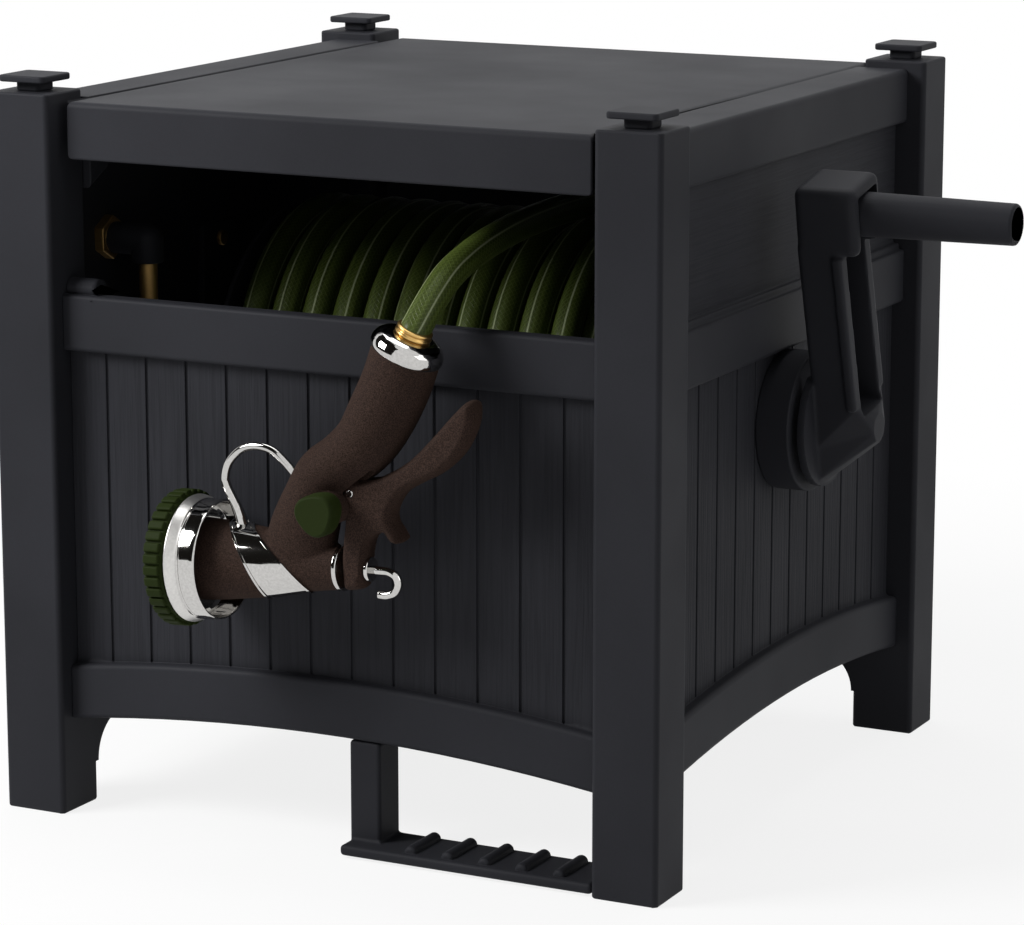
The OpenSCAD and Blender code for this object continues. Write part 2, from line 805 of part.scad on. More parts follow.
// A closed tube with triangle faces along the points of a path
module tube(p, r, n, side, turn) {
    m = len(p);
    last = (m - 1) * n;
    rings = [for (i = [0 : m - 1]) each ring(p, i, r, n, side, turn)];
    walls = [for (i = [0 : m - 2], k = [0 : n - 1], half = [0, 1])
        let (a = i * n + k, b = i * n + (k + 1) % n)
        half == 0 ? [a, a + n, b] : [b, a + n, b + n]];
    start = [for (k = [1 : n - 2]) [0, k, k + 1]];
    end = [for (k = [1 : n - 2]) [last, last + k + 1, last + k]];
    polyhedron(points = rings, faces = concat(walls, start, end));
}

// Least gap between neighbouring turns, on the rings' middles
wind_gap = min([for (i = [0 : wind_rings - loop_rings], j = [-3 : 3])
    norm(wind_turn_points[i] - wind_turn_points[min(i + loop_rings + j, wind_rings)])]) - hose_d;
echo(str("least gap between the turns of the winding: ", wind_gap));

module hose_core() {
    color([0.12, 0.17, 0.1]) place() on_axis() difference() {
        bar_x(-reel_x + core_side_gap, reel_w - core_side_gap * 2, core_r * 2);
        bar_x(-reel_x, reel_w, drum_d + seat * 2);
    }
}

module hose_winding() { color(green) place() tube(wind_points, hose_r, tube_sides, [1, 0, 0], 90); }

// Smooth step from 0 to 1 between two angles
function ease(a, from, to) = let (t = max(0, min(1, (a - from) / (to - from)))) t * t * (3 - t * 2);
function wrap_at(a) = let (
    r = lane_r + (lead_r - lane_r) * ease(a, climb_from, climb_to),
    x = lane_x + (leave_x - lane_x) * ease(a, cross_from, wrap_end))
    [x, r * cos(a), axis_z + r * sin(a)];
// The free points keep to the ends they join when a size moves those
free_count = len(free_points);
free_start_move = wrap_at(wrap_end) - free_start;
free_end_move = collar_mouth - free_points[free_count - 1];
free_route = [for (i = [0 : free_count - 1]) let (t = (i + 1) / free_count)
    free_points[i] + free_start_move * (1 - t) + free_end_move * t];
lead_points = concat([for (a = [wrap_start : wrap_step : wrap_end]) wrap_at(a)], free_route);

module hose_lead() { color(green) place() tube(lead_points, hose_r, lead_sides, [1, 0, 0], 0); }

// Crank

module crank_arm() {
    color(charcoal) place() crank_frame() difference() {
        union() {
            bar_x(crank_x, hub_flange_t, hub_d);
            translate([crank_x + hub_flange_t, 0, 0]) rotate([0, 90, 0])
                cylinder(d1 = hub_d, d2 = hub_nose_d, h = nose_x - screw_head_t - crank_x - hub_flange_t);
            translate([crank_x, -arm_w / 2, 0]) cube([arm_t, arm_w, crank_l]);
            translate([crank_x, -arm_w / 2, crank_l - head_foot]) cube([head_t, arm_w, head_foot + head_top]);
        }
        // Channel for the folded grip, with a slot through its back near the hub
        translate([crank_x + arm_back_t, -channel_w / 2, channel_foot])
            cube([head_t, channel_w, crank_l - channel_foot]);
        translate([crank_x - over, -channel_w / 2, channel_foot]) cube([head_t, channel_w, slot_h]);
        // Pocket round the grip's root
        translate([pivot_x, 0, crank_l]) bar_y(-channel_w / 2, channel_w, grip_d + pocket_gap * 2);
        translate([pivot_x, -channel_w / 2, crank_l - head_foot])
            cube([head_t, channel_w, head_foot + grip_d / 2 + pocket_gap]);
        translate([pivot_x, 0, crank_l]) bar_y(-arm_w, arm_w * 2, grip_pin_d + fit * 2);
        bar_x(crank_x - over, nose_x - crank_x, shaft_d + fit * 2);
        // Bevels along the arm's outer edges and over the top of the head
        for (s = [-1, 1]) translate([crank_x + arm_t, s * arm_w / 2, 0]) rotate([0, 0, 45])
            translate([-arm_bevel / 2, -arm_bevel / 2, hub_d / 2])
                cube([arm_bevel, arm_bevel, crank_l - hub_d / 2 - head_foot]);
        for (s = [-1, 1]) translate([crank_x - over, s * arm_w / 2, crank_l + head_top]) rotate([45, 0, 0])
            translate([0, -arm_bevel, -arm_bevel]) cube([head_t + over * 2, arm_bevel * 2, arm_bevel * 2]);
    }
}

module crank_screw() {
    color(charcoal) place() crank_frame() {
        bar_x(nose_x - screw_head_t, screw_head_t, screw_head_d);
        bar_x(nose_x - screw_head_t - screw_l + over, screw_l, screw_d);
    }
}

module grip_pin() {
    color(steel) place() crank_frame() translate([pivot_x, 0, crank_l]) bar_y(-arm_w / 2, arm_w, grip_pin_d);
}

module crank_grip() {
    tip_d = grip_d * grip_tip_share;
    color(charcoal) place() crank_frame() translate([pivot_x, 0, crank_l]) difference() {
        union() {
            sphere(d = grip_d);
            rotate([0, 90, 0]) cylinder(d1 = grip_d, d2 = tip_d, h = grip_l);
        }
        bar_x(grip_l - grip_bore_l, grip_bore_l + over, tip_d * grip_bore_share);
        bar_y(-grip_d, grip_d * 2, grip_pin_d + fit * 2);
    }
}

// Nozzle

// The barrel's outline grown by t, turned about its axis
module barrel_solid(t) {
    step = [for (s = barrel_shares) [barrel_r * s[1] + t, barrel_x0 + barrel_l * s[0]]];
    rotate([0, 90, 0]) rotate_extrude()
        polygon(concat([[0, barrel_x0]], step, [[0, barrel_x1]]));
}

// A cone between two places in the nozzle's plane
module limb(a, b, ra, rb) {
    run = b - a;
    at_nozzle(a) rotate([0, atan2(run[0], run[1]), 0]) cylinder(r1 = ra, r2 = rb, h = norm(run));
}

module nozzle_body() {
    color(rubber) place() nozzle_frame() difference() {
        union() {
            barrel_solid(0);
            bar_x(barrel_x0 - spigot_l, spigot_l + over, spigot_r * 2);
            limb(neck_foot, knee, neck_foot_r, knee_r);
            at_nozzle(knee) sphere(r = knee_r);
            limb(knee, handle_bend, handle_r, handle_r);
            at_nozzle(handle_bend) sphere(r = handle_r);
            limb(handle_bend, handle_end, handle_r, handle_r);
            at_nozzle(knob_at) bar_y(-knob_seat_y, knob_seat_y, knob_stub_d * 2);
        }
        // Room for the trigger's cheeks either side of a tongue that carries its pin
        for (s = [-1, 1]) translate([pin_at[0], s * (tongue_t + trigger_t + slot_gap * 2) / 4, pin_at[1]]) {
            w = (trigger_t - tongue_t + slot_gap * 2) / 2;
            bar_y(-w / 2, w, pocket_r * 2);
            translate([-pocket_back, -w / 2, -pin_at[1] - barrel_r])
                cube([pocket_r * 2, w, pin_at[1] + barrel_r]);
        }
        at_nozzle(pin_at) bar_y(-trigger_t, trigger_t * 2, trigger_pin_d + fit * 2);
        bar_x(barrel_x1 - stem_in - over, stem_in + over * 2, stem_d + fit * 2);
        at_nozzle(knob_at) bar_y(-knob_seat_y - over, knob_stub_l + over, knob_stub_d + fit * 2);
    }
}

module nozzle_band() {
    color(chrome) place() nozzle_frame() intersection() {
        difference() {
            barrel_solid(band_t + band_gap);
            barrel_solid(band_gap);
        }
        translate([band_x, 0, barrel_r]) rotate([0, -band_lean_a, 0])
            translate([-band_w / 2, -barrel_r * 2, -barrel_r * 4])
                cube([barrel_r * 4, barrel_r * 4, barrel_r * 5]);
        translate([band_x, 0, barrel_r]) rotate([0, -band_lean_b, 0])
            translate([band_w / 2 - barrel_r * 4, -barrel_r * 2, -barrel_r * 4])
                cube([barrel_r * 4, barrel_r * 4, barrel_r * 5]);
    }
}

// A place on the round part of the loop
function loop_point(a) = loop_at + loop_r * [cos(a), sin(a)];

module hang_loop() {
    color(chrome) place() nozzle_frame() {
        at_nozzle(loop_at) rotate([90, 0, 0]) rotate([0, 0, loop_from]) rotate_extrude(angle = loop_sweep)
            translate([loop_r, 0]) circle(d = wire_d);
        limb(loop_foot, loop_point(loop_from + loop_sweep), wire_d / 2, wire_d / 2);
        limb(loop_tail, loop_point(loop_from), wire_d / 2, wire_d / 2);
    }
}

module nozzle_bezel() {
    x1 = barrel_x0 - bezel_gap / 2;
    x0 = x1 - bezel_w + bezel_gap;
    color(chrome) place() nozzle_frame() rotate([0, 90, 0]) rotate_extrude() polygon([
        [spigot_r + bezel_gap, x0], [bezel_r - bezel_edge, x0], [bezel_r, x0 + bezel_edge],
        [bezel_r, x1 - bezel_edge], [bezel_r - bezel_edge, x1], [spigot_r + bezel_gap, x1]]);
}

module pattern_dial() {
    x0 = barrel_x0 - bezel_w - dial_w;
    rim = dial_d / 2 - dial_rib_t;
    color(green) place() nozzle_frame() difference() {
        translate([x0, 0, 0]) rotate([0, 90, 0]) linear_extrude(dial_w) {
            circle(r = rim);
            for (i = [0 : dial_rib_count - 1]) rotate(i * 360 / dial_rib_count)
                translate([rim - dial_rib_t, -dial_rib_w / 2]) square([dial_rib_t * 2, dial_rib_w]);
        }
        bar_x(x0 + dial_face_t, dial_w, spigot_r * 2 + fit * 2);
        for (i = [0 : spray_holes - 1]) rotate([i * 360 / spray_holes, 0, 0])
            translate([0, 0, spray_ring_r]) bar_x(x0 - over, dial_w / 2 + over, spray_hole_d);
    }
}

module flow_knob() {
    r = knob_d / 2;
    color(green) place() nozzle_frame() at_nozzle(knob_at) translate([0, -knob_seat_y - seat, 0]) {
        rotate([90, 0, 0]) rotate_extrude() polygon([[0, 0], [r, 0], [r, knob_l - knob_edge],
            [r - knob_edge, knob_l], [0, knob_l]]);
        bar_y(-over, knob_stub_l, knob_stub_d);
    }
}

module barrel_ring() {
    color(chrome) place() nozzle_frame() difference() {
        bar_x(barrel_x1, ring_w, (barrel_tail_r + ring_t) * 2);
        bar_x(barrel_x1 - over, ring_w + over * 2, stem_d + seat * 2);
    }
}

module trigger() {
    color(rubber) place() nozzle_frame() at_nozzle(pin_at) difference() {
        slab(-trigger_t / 2, trigger_t) polygon(trigger_shares * lever_l);
        // Slot over the body's tongue
        translate([-lever_l, -tongue_t / 2 - slot_gap, -slot_drop])
            cube([lever_l + pocket_r, tongue_t + slot_gap * 2, slot_drop * 2]);
        bar_y(-trigger_t, trigger_t * 2, trigger_pin_d + fit * 2);
        translate([0, 0, -pin_at[1]]) bar_x(-lever_l, lever_l * 2, stem_hole_d);
    }
}

module trigger_pin() {
    color(chrome) place() nozzle_frame() at_nozzle(pin_at) bar_y(-trigger_t / 2, trigger_t, trigger_pin_d);
}

module valve_stem() {
    nut_x = pin_at[0] + lever_l * stem_nut_share + seat;
    bend_x = nut_x + stem_nut_t + hook_run;
    color(chrome) place() nozzle_frame() {
        bar_x(barrel_x1 - stem_in / 2, nut_x + stem_nut_t - barrel_x1 + stem_in / 2, stem_d);
        bar_x(nut_x, stem_nut_t, stem_nut_d);
        bar_x(nut_x, bend_x - nut_x, wire_d);
        translate([bend_x, 0, -hook_r]) rotate([90, 0, 0]) rotate([0, 0, -90]) rotate_extrude(angle = 180)
            translate([hook_r, 0]) circle(d = wire_d);
        translate([0, 0, -hook_r * 2]) bar_x(bend_x - hook_tail, hook_tail, wire_d);
    }
}

// Collar at the top of the handle, open towards the hose, and the coupling in it

// The coupling sits skew in the mouth, which is as deep as its lower edge needs
hose_aim = heading(lead_points, len(lead_points) - 1);
hose_skew = acos(hose_aim * unit(nozzle_place(handle_end) - collar_mouth));
coupling_r = hose_r + seat + coupling_wall;
collar_depth = coupling_floor * cos(hose_skew) + coupling_r * sin(hose_skew) + fit * 2;

module collar_frame() { nozzle_frame() at_nozzle(handle_end) rotate([0, collar_lean, 0]) children(); }

module nozzle_collar() {
    color(chrome) place() collar_frame() difference() {
        cylinder(d = collar_d, h = collar_l);
        translate([0, 0, collar_l - collar_depth]) cylinder(d = collar_d - collar_wall * 2, h = collar_l);
    }
}

module hose_coupling() {
    skew = [0, acos(hose_aim[2]), atan2(hose_aim[1], hose_aim[0])];
    color(brass) place() translate(collar_mouth) rotate(skew) difference() {
        translate([0, 0, coupling_floor - coupling_l]) cylinder(r = coupling_r, h = coupling_l);
        translate([0, 0, -coupling_l]) cylinder(d = hose_d + seat * 2, h = coupling_l);
    }
}

post_front_left();
post_front_right();
post_rear_left();
post_rear_right();
post_caps();
front_panel();
rear_panel();
left_panel();
right_panel();
foot_step();
lid();
lid_hinge_pins();
crank_bearing();
swivel_bracket();
bracket_screws();
swivel_body();
swivel_seal();
inlet_fitting();
inlet_nut();
inlet_elbow();
inlet_pipe();
reel_drum();
left_flange();
right_flange();
swivel_tube();
drive_shaft();
hose_core();
hose_winding();
crank_arm();
crank_screw();
grip_pin();
crank_grip();
hose_lead();
hose_coupling();
nozzle_collar();
nozzle_body();
nozzle_band();
hang_loop();
nozzle_bezel();
pattern_dial();
flow_knob();
barrel_ring();
trigger();
trigger_pin();
valve_stem();
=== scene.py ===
import json
import math

import bmesh
import bpy
from mathutils import Matrix, Vector


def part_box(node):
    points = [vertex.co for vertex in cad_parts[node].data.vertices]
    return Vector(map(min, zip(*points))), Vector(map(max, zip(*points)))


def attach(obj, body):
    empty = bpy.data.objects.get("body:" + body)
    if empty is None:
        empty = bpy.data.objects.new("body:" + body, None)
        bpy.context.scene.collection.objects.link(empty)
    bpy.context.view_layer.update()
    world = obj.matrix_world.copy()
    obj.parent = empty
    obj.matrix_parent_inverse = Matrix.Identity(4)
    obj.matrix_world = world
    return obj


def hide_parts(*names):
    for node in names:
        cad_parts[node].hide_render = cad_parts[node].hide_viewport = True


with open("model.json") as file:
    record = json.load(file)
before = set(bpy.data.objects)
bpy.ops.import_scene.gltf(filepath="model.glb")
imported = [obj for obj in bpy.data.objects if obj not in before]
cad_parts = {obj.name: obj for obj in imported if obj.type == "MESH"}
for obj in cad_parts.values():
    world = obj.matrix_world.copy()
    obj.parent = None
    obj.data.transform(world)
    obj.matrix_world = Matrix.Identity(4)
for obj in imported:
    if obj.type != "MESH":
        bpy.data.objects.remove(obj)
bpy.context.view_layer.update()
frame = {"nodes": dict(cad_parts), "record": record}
scene = bpy.context.scene
body_of = {node: body for body, group in frame["record"]["behaviour"]["bodies"].items() for node in group}

# Camera: a long lens to the right of the box's front and a little above its lid,
# level across the picture. The focal length is in pixels of the picture's width.
PICTURE_W = 1024
FOCAL_PX = 3875
CAMERA_AT = (1.2545, -2.6088, 0.8689)
CAMERA_TURN = 26.78
CAMERA_DROP = 12.1

camera_data = bpy.data.cameras.new("camera")
camera_data.lens = camera_data.sensor_width * FOCAL_PX / PICTURE_W
camera = bpy.data.objects.new("camera", camera_data)
camera.location = CAMERA_AT
camera.rotation_euler = (math.radians(90 - CAMERA_DROP), 0, math.radians(CAMERA_TURN))
scene.collection.objects.link(camera)
scene.camera = camera

# Studio: a pale floor under a white surround, with a lamp over the front left, a weaker one
# over the right wall and one above. The surround is white to the eye and in mirrors, and a
# plain grey where it only lends light. A dark card up on the left shows in polished metal.
AMBIENT = 0.18
FLOOR_SIZE = 9
FLOOR_ALBEDO = 0.82
FLOOR_GLOW = 0.84
FLOOR_FADE = (0.5, 1.2)
LAMPS = {
    "front_lamp": ((-1.3, -1.35, 1.45), 0.9, 48),
    "right_lamp": ((3.0, -0.25, 1.7), 1.6, 14),
    "top_lamp": ((-0.3, 0.8, 3.2), 2.2, 48),
}
LAMPS_AIM = Vector((-0.08, 0, 0.28))
CARD_SIZE = 6
CARD_AT = Vector((-2.13, -2.3, 3.0))
CARD_GREY = (0.012, 0.011, 0.010, 1)
WHITE = (1, 1, 1, 1)

scene.view_settings.view_transform = "Standard"


def add_node(tree, kind, **values):
    """A new shader node, with its settings and sockets given by name."""
    node = tree.nodes.new(kind)
    for name, value in values.items():
        if hasattr(node, name):
            setattr(node, name, value)
        else:
            node.inputs[name.replace("_", " ")].default_value = value
    return node


def seen_directly(tree):
    """1 where the eye, a mirror or glass looks, and 0 for light that bounces."""
    rays = add_node(tree, "ShaderNodeLightPath")
    eye = add_node(tree, "ShaderNodeMath", operation="MAXIMUM")
    either = add_node(tree, "ShaderNodeMath", operation="MAXIMUM")
    tree.links.new(rays.outputs["Is Camera Ray"], eye.inputs[0])
    tree.links.new(rays.outputs["Is Glossy Ray"], eye.inputs[1])
    tree.links.new(eye.outputs[0], either.inputs[0])
    tree.links.new(rays.outputs["Is Transmission Ray"], either.inputs[1])
    return either.outputs[0]


def mixed_shader(tree, factor, first, second):
    """Two shaders mixed by a factor."""
    mix = add_node(tree, "ShaderNodeMixShader")
    tree.links.new(factor, mix.inputs["Fac"])
    tree.links.new(first.outputs[0], mix.inputs[1])
    tree.links.new(second.outputs[0], mix.inputs[2])
    return mix


def painted_plane(name, size, **place):
    """A plane of the studio with an empty paint, and the paint's node tree."""
    bpy.ops.object.select_all(action="DESELECT")
    bpy.ops.mesh.primitive_plane_add(size=size, **place)
    plane = bpy.context.object
    plane.name = name
    paint = bpy.data.materials.new(name + "_paint")
    paint.use_nodes = True
    paint.node_tree.nodes.clear()
    plane.data.materials.append(paint)
    return plane, paint.node_tree


world = bpy.data.worlds.new("studio")
world.use_nodes = True
scene.world = world
sky = world.node_tree
sky.nodes.clear()
grey = add_node(sky, "ShaderNodeBackground", Color=WHITE, Strength=AMBIENT)
white = add_node(sky, "ShaderNodeBackground", Color=WHITE, Strength=1)
sky_mix = mixed_shader(sky, seen_directly(sky), grey, white)
sky.links.new(sky_mix.outputs[0], add_node(sky, "ShaderNodeOutputWorld").inputs["Surface"])

floor, paint = painted_plane("floor", FLOOR_SIZE)
matt = add_node(paint, "ShaderNodeBsdfDiffuse", Color=(FLOOR_ALBEDO, FLOOR_ALBEDO, FLOOR_ALBEDO, 1))
glow = add_node(paint, "ShaderNodeEmission", Color=WHITE, Strength=1)
share = add_node(paint, "ShaderNodeMath", operation="MULTIPLY")
reach = add_node(paint, "ShaderNodeVectorMath", operation="LENGTH")
fade = add_node(paint, "ShaderNodeMapRange", From_Min=FLOOR_FADE[0], From_Max=FLOOR_FADE[1],
                To_Min=FLOOR_GLOW, To_Max=1)
paint.links.new(add_node(paint, "ShaderNodeTexCoord").outputs["Object"], reach.inputs[0])
paint.links.new(reach.outputs["Value"], fade.inputs["Value"])
paint.links.new(fade.outputs["Result"], share.inputs[1])
paint.links.new(seen_directly(paint), share.inputs[0])
floor_mix = mixed_shader(paint, share.outputs[0], matt, glow)
paint.links.new(floor_mix.outputs[0], add_node(paint, "ShaderNodeOutputMaterial").inputs["Surface"])

card, tone = painted_plane("dark_card", CARD_SIZE, location=CARD_AT,
                           rotation=(CARD_AT - LAMPS_AIM).to_track_quat("Z", "Y").to_euler())
card_tone = add_node(tone, "ShaderNodeEmission", Color=CARD_GREY, Strength=1)
tone.links.new(card_tone.outputs[0], add_node(tone, "ShaderNodeOutputMaterial").inputs["Surface"])
card.visible_camera = False
card.visible_diffuse = False
card.visible_shadow = False
card.visible_transmission = False

for name, (place, size, power) in LAMPS.items():
    lamp_data = bpy.data.lights.new(name, "AREA")
    lamp_data.size = size
    lamp_data.energy = power
    lamp = bpy.data.objects.new(name, lamp_data)
    lamp.location = place
    lamp.rotation_euler = (LAMPS_AIM - lamp.location).to_track_quat("-Z", "Y").to_euler()
    scene.collection.objects.link(lamp)

# Corner posts: four square tubes of charcoal resin, injection moulded with a satin
# skin. Each slides onto the ends of two walls and stands on the ground.
CHARCOAL = (0.0205, 0.0210, 0.0250, 1)
CHARCOAL_ROUGH = 0.58
CHARCOAL_SHEEN = 0.08
PATCH_SCALE = 7
PATCH_TONE = 0.12
PATCH_GLOSS = (1.08, 0.92)
SPECK_TONE = (0.94, 1.06)
SKIN_STIPPLE = 1500
SKIN_HEIGHT = 0.00006
POST_EDGE = 0.0018
FIN_ZONE = (0.02, 0.10)
MERGE = 0.00001
FLAT = math.radians(0.6)
SHARP = math.radians(25)
SMOOTH = math.radians(42)
EDGE_ROOM = 0.44
SAME_WAY = 0.85


def node_group(name, inputs, outputs):
    """An empty shader group with its sockets, and its entry and exit nodes."""
    group = bpy.data.node_groups.new(name, "ShaderNodeTree")
    for label, kind, value in inputs:
        socket = group.interface.new_socket(label, in_out="INPUT", socket_type=kind)
        socket.default_value = value
    for label, kind in outputs:
        group.interface.new_socket(label, in_out="OUTPUT", socket_type=kind)
    return group, group.nodes.new("NodeGroupInput"), group.nodes.new("NodeGroupOutput")


def noise(tree, place, scale, detail=3):
    """A noise pattern on a place socket."""
    pattern = add_node(tree, "ShaderNodeTexNoise", Scale=scale, Detail=detail)
    tree.links.new(place, pattern.inputs["Vector"])
    return pattern.outputs["Fac"]


def ranged(tree, value, low, high, start=0.3, end=0.7):
    """A value spread from one range over another; low and high may be sockets."""
    spread = add_node(tree, "ShaderNodeMapRange", From_Min=start, From_Max=end)
    tree.links.new(value, spread.inputs["Value"])
    for name, bound in (("To Min", low), ("To Max", high)):
        if isinstance(bound, (int, float)):
            spread.inputs[name].default_value = bound
        else:
            tree.links.new(bound, spread.inputs[name])
    return spread.outputs["Result"]


def arith(tree, operation, first, second):
    """One sum on two values, each a number or a socket."""
    sum_node = add_node(tree, "ShaderNodeMath", operation=operation)
    for slot, value in enumerate((first, second)):
        if isinstance(value, (int, float)):
            sum_node.inputs[slot].default_value = value
        else:
            tree.links.new(value, sum_node.inputs[slot])
    return sum_node.outputs[0]


def shaded(tree, colour, factor):
    """A colour made lighter or darker by a factor."""
    scale = add_node(tree, "ShaderNodeVectorMath", operation="SCALE")
    tree.links.new(colour, scale.inputs[0])
    tree.links.new(factor, scale.inputs["Scale"])
    return scale.outputs[0]


def mixed(tree, factor, first, second):
    """Two colours mixed, each a tuple or a socket."""
    mix = add_node(tree, "ShaderNodeMix", data_type="RGBA")
    tree.links.new(factor, mix.inputs["Factor"])
    for name, colour in (("A", first), ("B", second)):
        socket = next(s for s in mix.inputs if s.name == name and s.type == "RGBA")
        if isinstance(colour, tuple):
            socket.default_value = colour
        else:
            tree.links.new(colour, socket)
    return next(s for s in mix.outputs if s.type == "RGBA")


# The skin every moulding shares: faint patches of tone, a fine stipple and uneven gloss
moulded_skin, skin_in, skin_out = node_group(
    "moulded_skin",
    [("Colour", "NodeSocketColor", CHARCOAL), ("Roughness", "NodeSocketFloat", CHARCOAL_ROUGH),
     ("Patch", "NodeSocketFloat", PATCH_TONE), ("Stipple", "NodeSocketFloat", SKIN_STIPPLE)],
    [("Colour", "NodeSocketColor"), ("Roughness", "NodeSocketFloat"), ("Height", "NodeSocketFloat")])
skin_place = add_node(moulded_skin, "ShaderNodeTexCoord").outputs["Object"]
skin_patch = noise(moulded_skin, skin_place, PATCH_SCALE)
skin_fine = noise(moulded_skin, skin_place, SKIN_STIPPLE, detail=2)
moulded_skin.links.new(skin_in.outputs["Stipple"], skin_fine.node.inputs["Scale"])
skin_low = arith(moulded_skin, "SUBTRACT", 1, skin_in.outputs["Patch"])
skin_high = arith(moulded_skin, "ADD", 1, skin_in.outputs["Patch"])
skin_tone = ranged(moulded_skin, skin_patch, skin_low, skin_high)
skin_speck = ranged(moulded_skin, skin_fine, *SPECK_TONE)
skin_shade = arith(moulded_skin, "MULTIPLY", skin_tone, skin_speck)
skin_gloss = ranged(moulded_skin, skin_patch, *PATCH_GLOSS)
moulded_skin.links.new(shaded(moulded_skin, skin_in.outputs["Colour"], skin_shade), skin_out.inputs["Colour"])
moulded_skin.links.new(arith(moulded_skin, "MULTIPLY", skin_in.outputs["Roughness"], skin_gloss),
                       skin_out.inputs["Roughness"])
moulded_skin.links.new(skin_fine, skin_out.inputs["Height"])


def moulded(name, colour, roughness, sheen, patch=PATCH_TONE, stipple=SKIN_STIPPLE, height=SKIN_HEIGHT):
    """A material with the moulded skin: its colour, roughness and sheen, and a fine relief."""
    material = bpy.data.materials.new(name)
    material.use_nodes = True
    tree = material.node_tree
    shader = tree.nodes["Principled BSDF"]
    skin = add_node(tree, "ShaderNodeGroup", node_tree=moulded_skin)
    skin.inputs["Colour"].default_value = colour
    skin.inputs["Roughness"].default_value = roughness
    skin.inputs["Patch"].default_value = patch
    skin.inputs["Stipple"].default_value = stipple
    bump = add_node(tree, "ShaderNodeBump", Distance=height)
    shader.inputs["Specular IOR Level"].default_value = sheen
    tree.links.new(skin.outputs["Colour"], shader.inputs["Base Color"])
    tree.links.new(skin.outputs["Roughness"], shader.inputs["Roughness"])
    tree.links.new(skin.outputs["Height"], bump.inputs["Height"])
    tree.links.new(bump.outputs["Normal"], shader.inputs["Normal"])
    return material


def choose(piece):
    """Makes a piece the only selected one, and the active one."""
    bpy.ops.object.select_all(action="DESELECT")
    piece.select_set(True)
    bpy.context.view_layer.objects.active = piece


def apply_modifier(piece, kind, **settings):
    """Adds a modifier with its settings and applies it at once."""
    choose(piece)
    modifier = piece.modifiers.new(kind.lower(), kind)
    for name, value in settings.items():
        setattr(modifier, name, value)
    bpy.ops.object.modifier_apply(modifier=modifier.name)


def smooth_shaded(piece):
    """Smooth shading that keeps flat faces flat and sharp edges sharp."""
    choose(piece)
    bpy.ops.object.shade_smooth_by_angle(angle=SMOOTH)
    apply_modifier(piece, "WEIGHTED_NORMAL", keep_sharp=True)


def edge_weight(edge, radius, share):
    """How much of the radius an edge takes: none if it is not sharp, less where it has little room."""
    if edge.calc_face_angle(0) < SHARP:
        return 0
    run = (edge.verts[1].co - edge.verts[0].co).normalized()
    room = radius
    for vert in edge.verts:
        for other in vert.link_edges:
            across = other.other_vert(vert).co - vert.co
            if other is not edge and abs(across.normalized().dot(run)) < SAME_WAY:
                room = min(room, across.length * EDGE_ROOM)
    return min(room, radius * share) / radius


def softened(node, name, radius, share=lambda middle: 1, steps=3):
    """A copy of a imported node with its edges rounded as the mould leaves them.

    share gives the part of the radius that an edge takes, from the edge's middle point."""
    piece = bpy.data.objects.new(name, frame["nodes"][node].data.copy())
    scene.collection.objects.link(piece)
    piece.data.materials.clear()
    choose(piece)
    bpy.ops.mesh.customdata_custom_splitnormals_clear()
    bpy.ops.object.mode_set(mode="EDIT")
    bpy.ops.mesh.select_all(action="SELECT")
    bpy.ops.mesh.remove_doubles(threshold=MERGE)
    bpy.ops.mesh.dissolve_limited(angle_limit=FLAT)
    edit = bmesh.from_edit_mesh(piece.data)
    weights = edit.edges.layers.float.new("bevel_weight_edge")
    for edge in edit.edges:
        middle = (edge.verts[0].co + edge.verts[1].co) / 2
        edge[weights] = edge_weight(edge, radius, share(middle))
    bmesh.update_edit_mesh(piece.data)
    bpy.ops.object.mode_set(mode="OBJECT")
    apply_modifier(piece, "BEVEL", width=radius, segments=steps, limit_method="WEIGHT",
                   use_clamp_overlap=False)
    smooth_shaded(piece)
    return piece


def fitted(piece, node, slot, *materials):
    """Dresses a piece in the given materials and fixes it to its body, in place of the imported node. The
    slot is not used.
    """
    piece.data.materials.clear()
    for material in materials:
        piece.data.materials.append(material)
    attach(piece, body_of[node])
    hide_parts(node)
    return piece


def post_share(middle):
    """Full rounding on a post's edges, but none beside the fin near its foot."""
    return 0 if FIN_ZONE[0] < middle.z < FIN_ZONE[1] else 1


charcoal = moulded("charcoal", CHARCOAL, CHARCOAL_ROUGH, CHARCOAL_SHEEN)
for side in ("front_left", "front_right", "rear_left", "rear_right"):
    post = softened("post_" + side, side + "_post", POST_EDGE, post_share)
    fitted(post, "post_" + side, "charcoal", charcoal)

# Post caps: thin square plates on short necks, moulded in one with a plug that
# presses into the top of each post.
CAP_EDGE = 0.0014
fitted(softened("post_caps", "square_caps", CAP_EDGE), "post_caps", "charcoal", charcoal)

# Walls: each is one charcoal moulding with smooth rails and, set back behind them,
# upright planks with a wood grain pressed in. The side walls have a plain upper
# panel too, with its grain lying level. Tongues at the ends slide into the posts.
WALL_EDGE = 0.0042
WALL_STEPS = 4
WALL_END_SHARE = 0.3
EDGE_REACH = 0.25
GRAIN_SCALE, BROAD_SCALE = 420, 60
GRAIN_LENGTH = 0.035
GRAIN_WANDER = 0.6
GRAIN_HEIGHT, GRAIN_STRENGTH = 0.00022, 0.8
GRAIN_ROUGH = 0.64
FURROW_SPAN = (0.35, 0.6)
FURROW_SHADE = (0.86, 1.04)
BROAD_WEIGHT = 0.8
PLANK_BACK = (0.006, 0.012)
FACING = 0.8
PLANKS, UPPER_PANEL = 1, 2

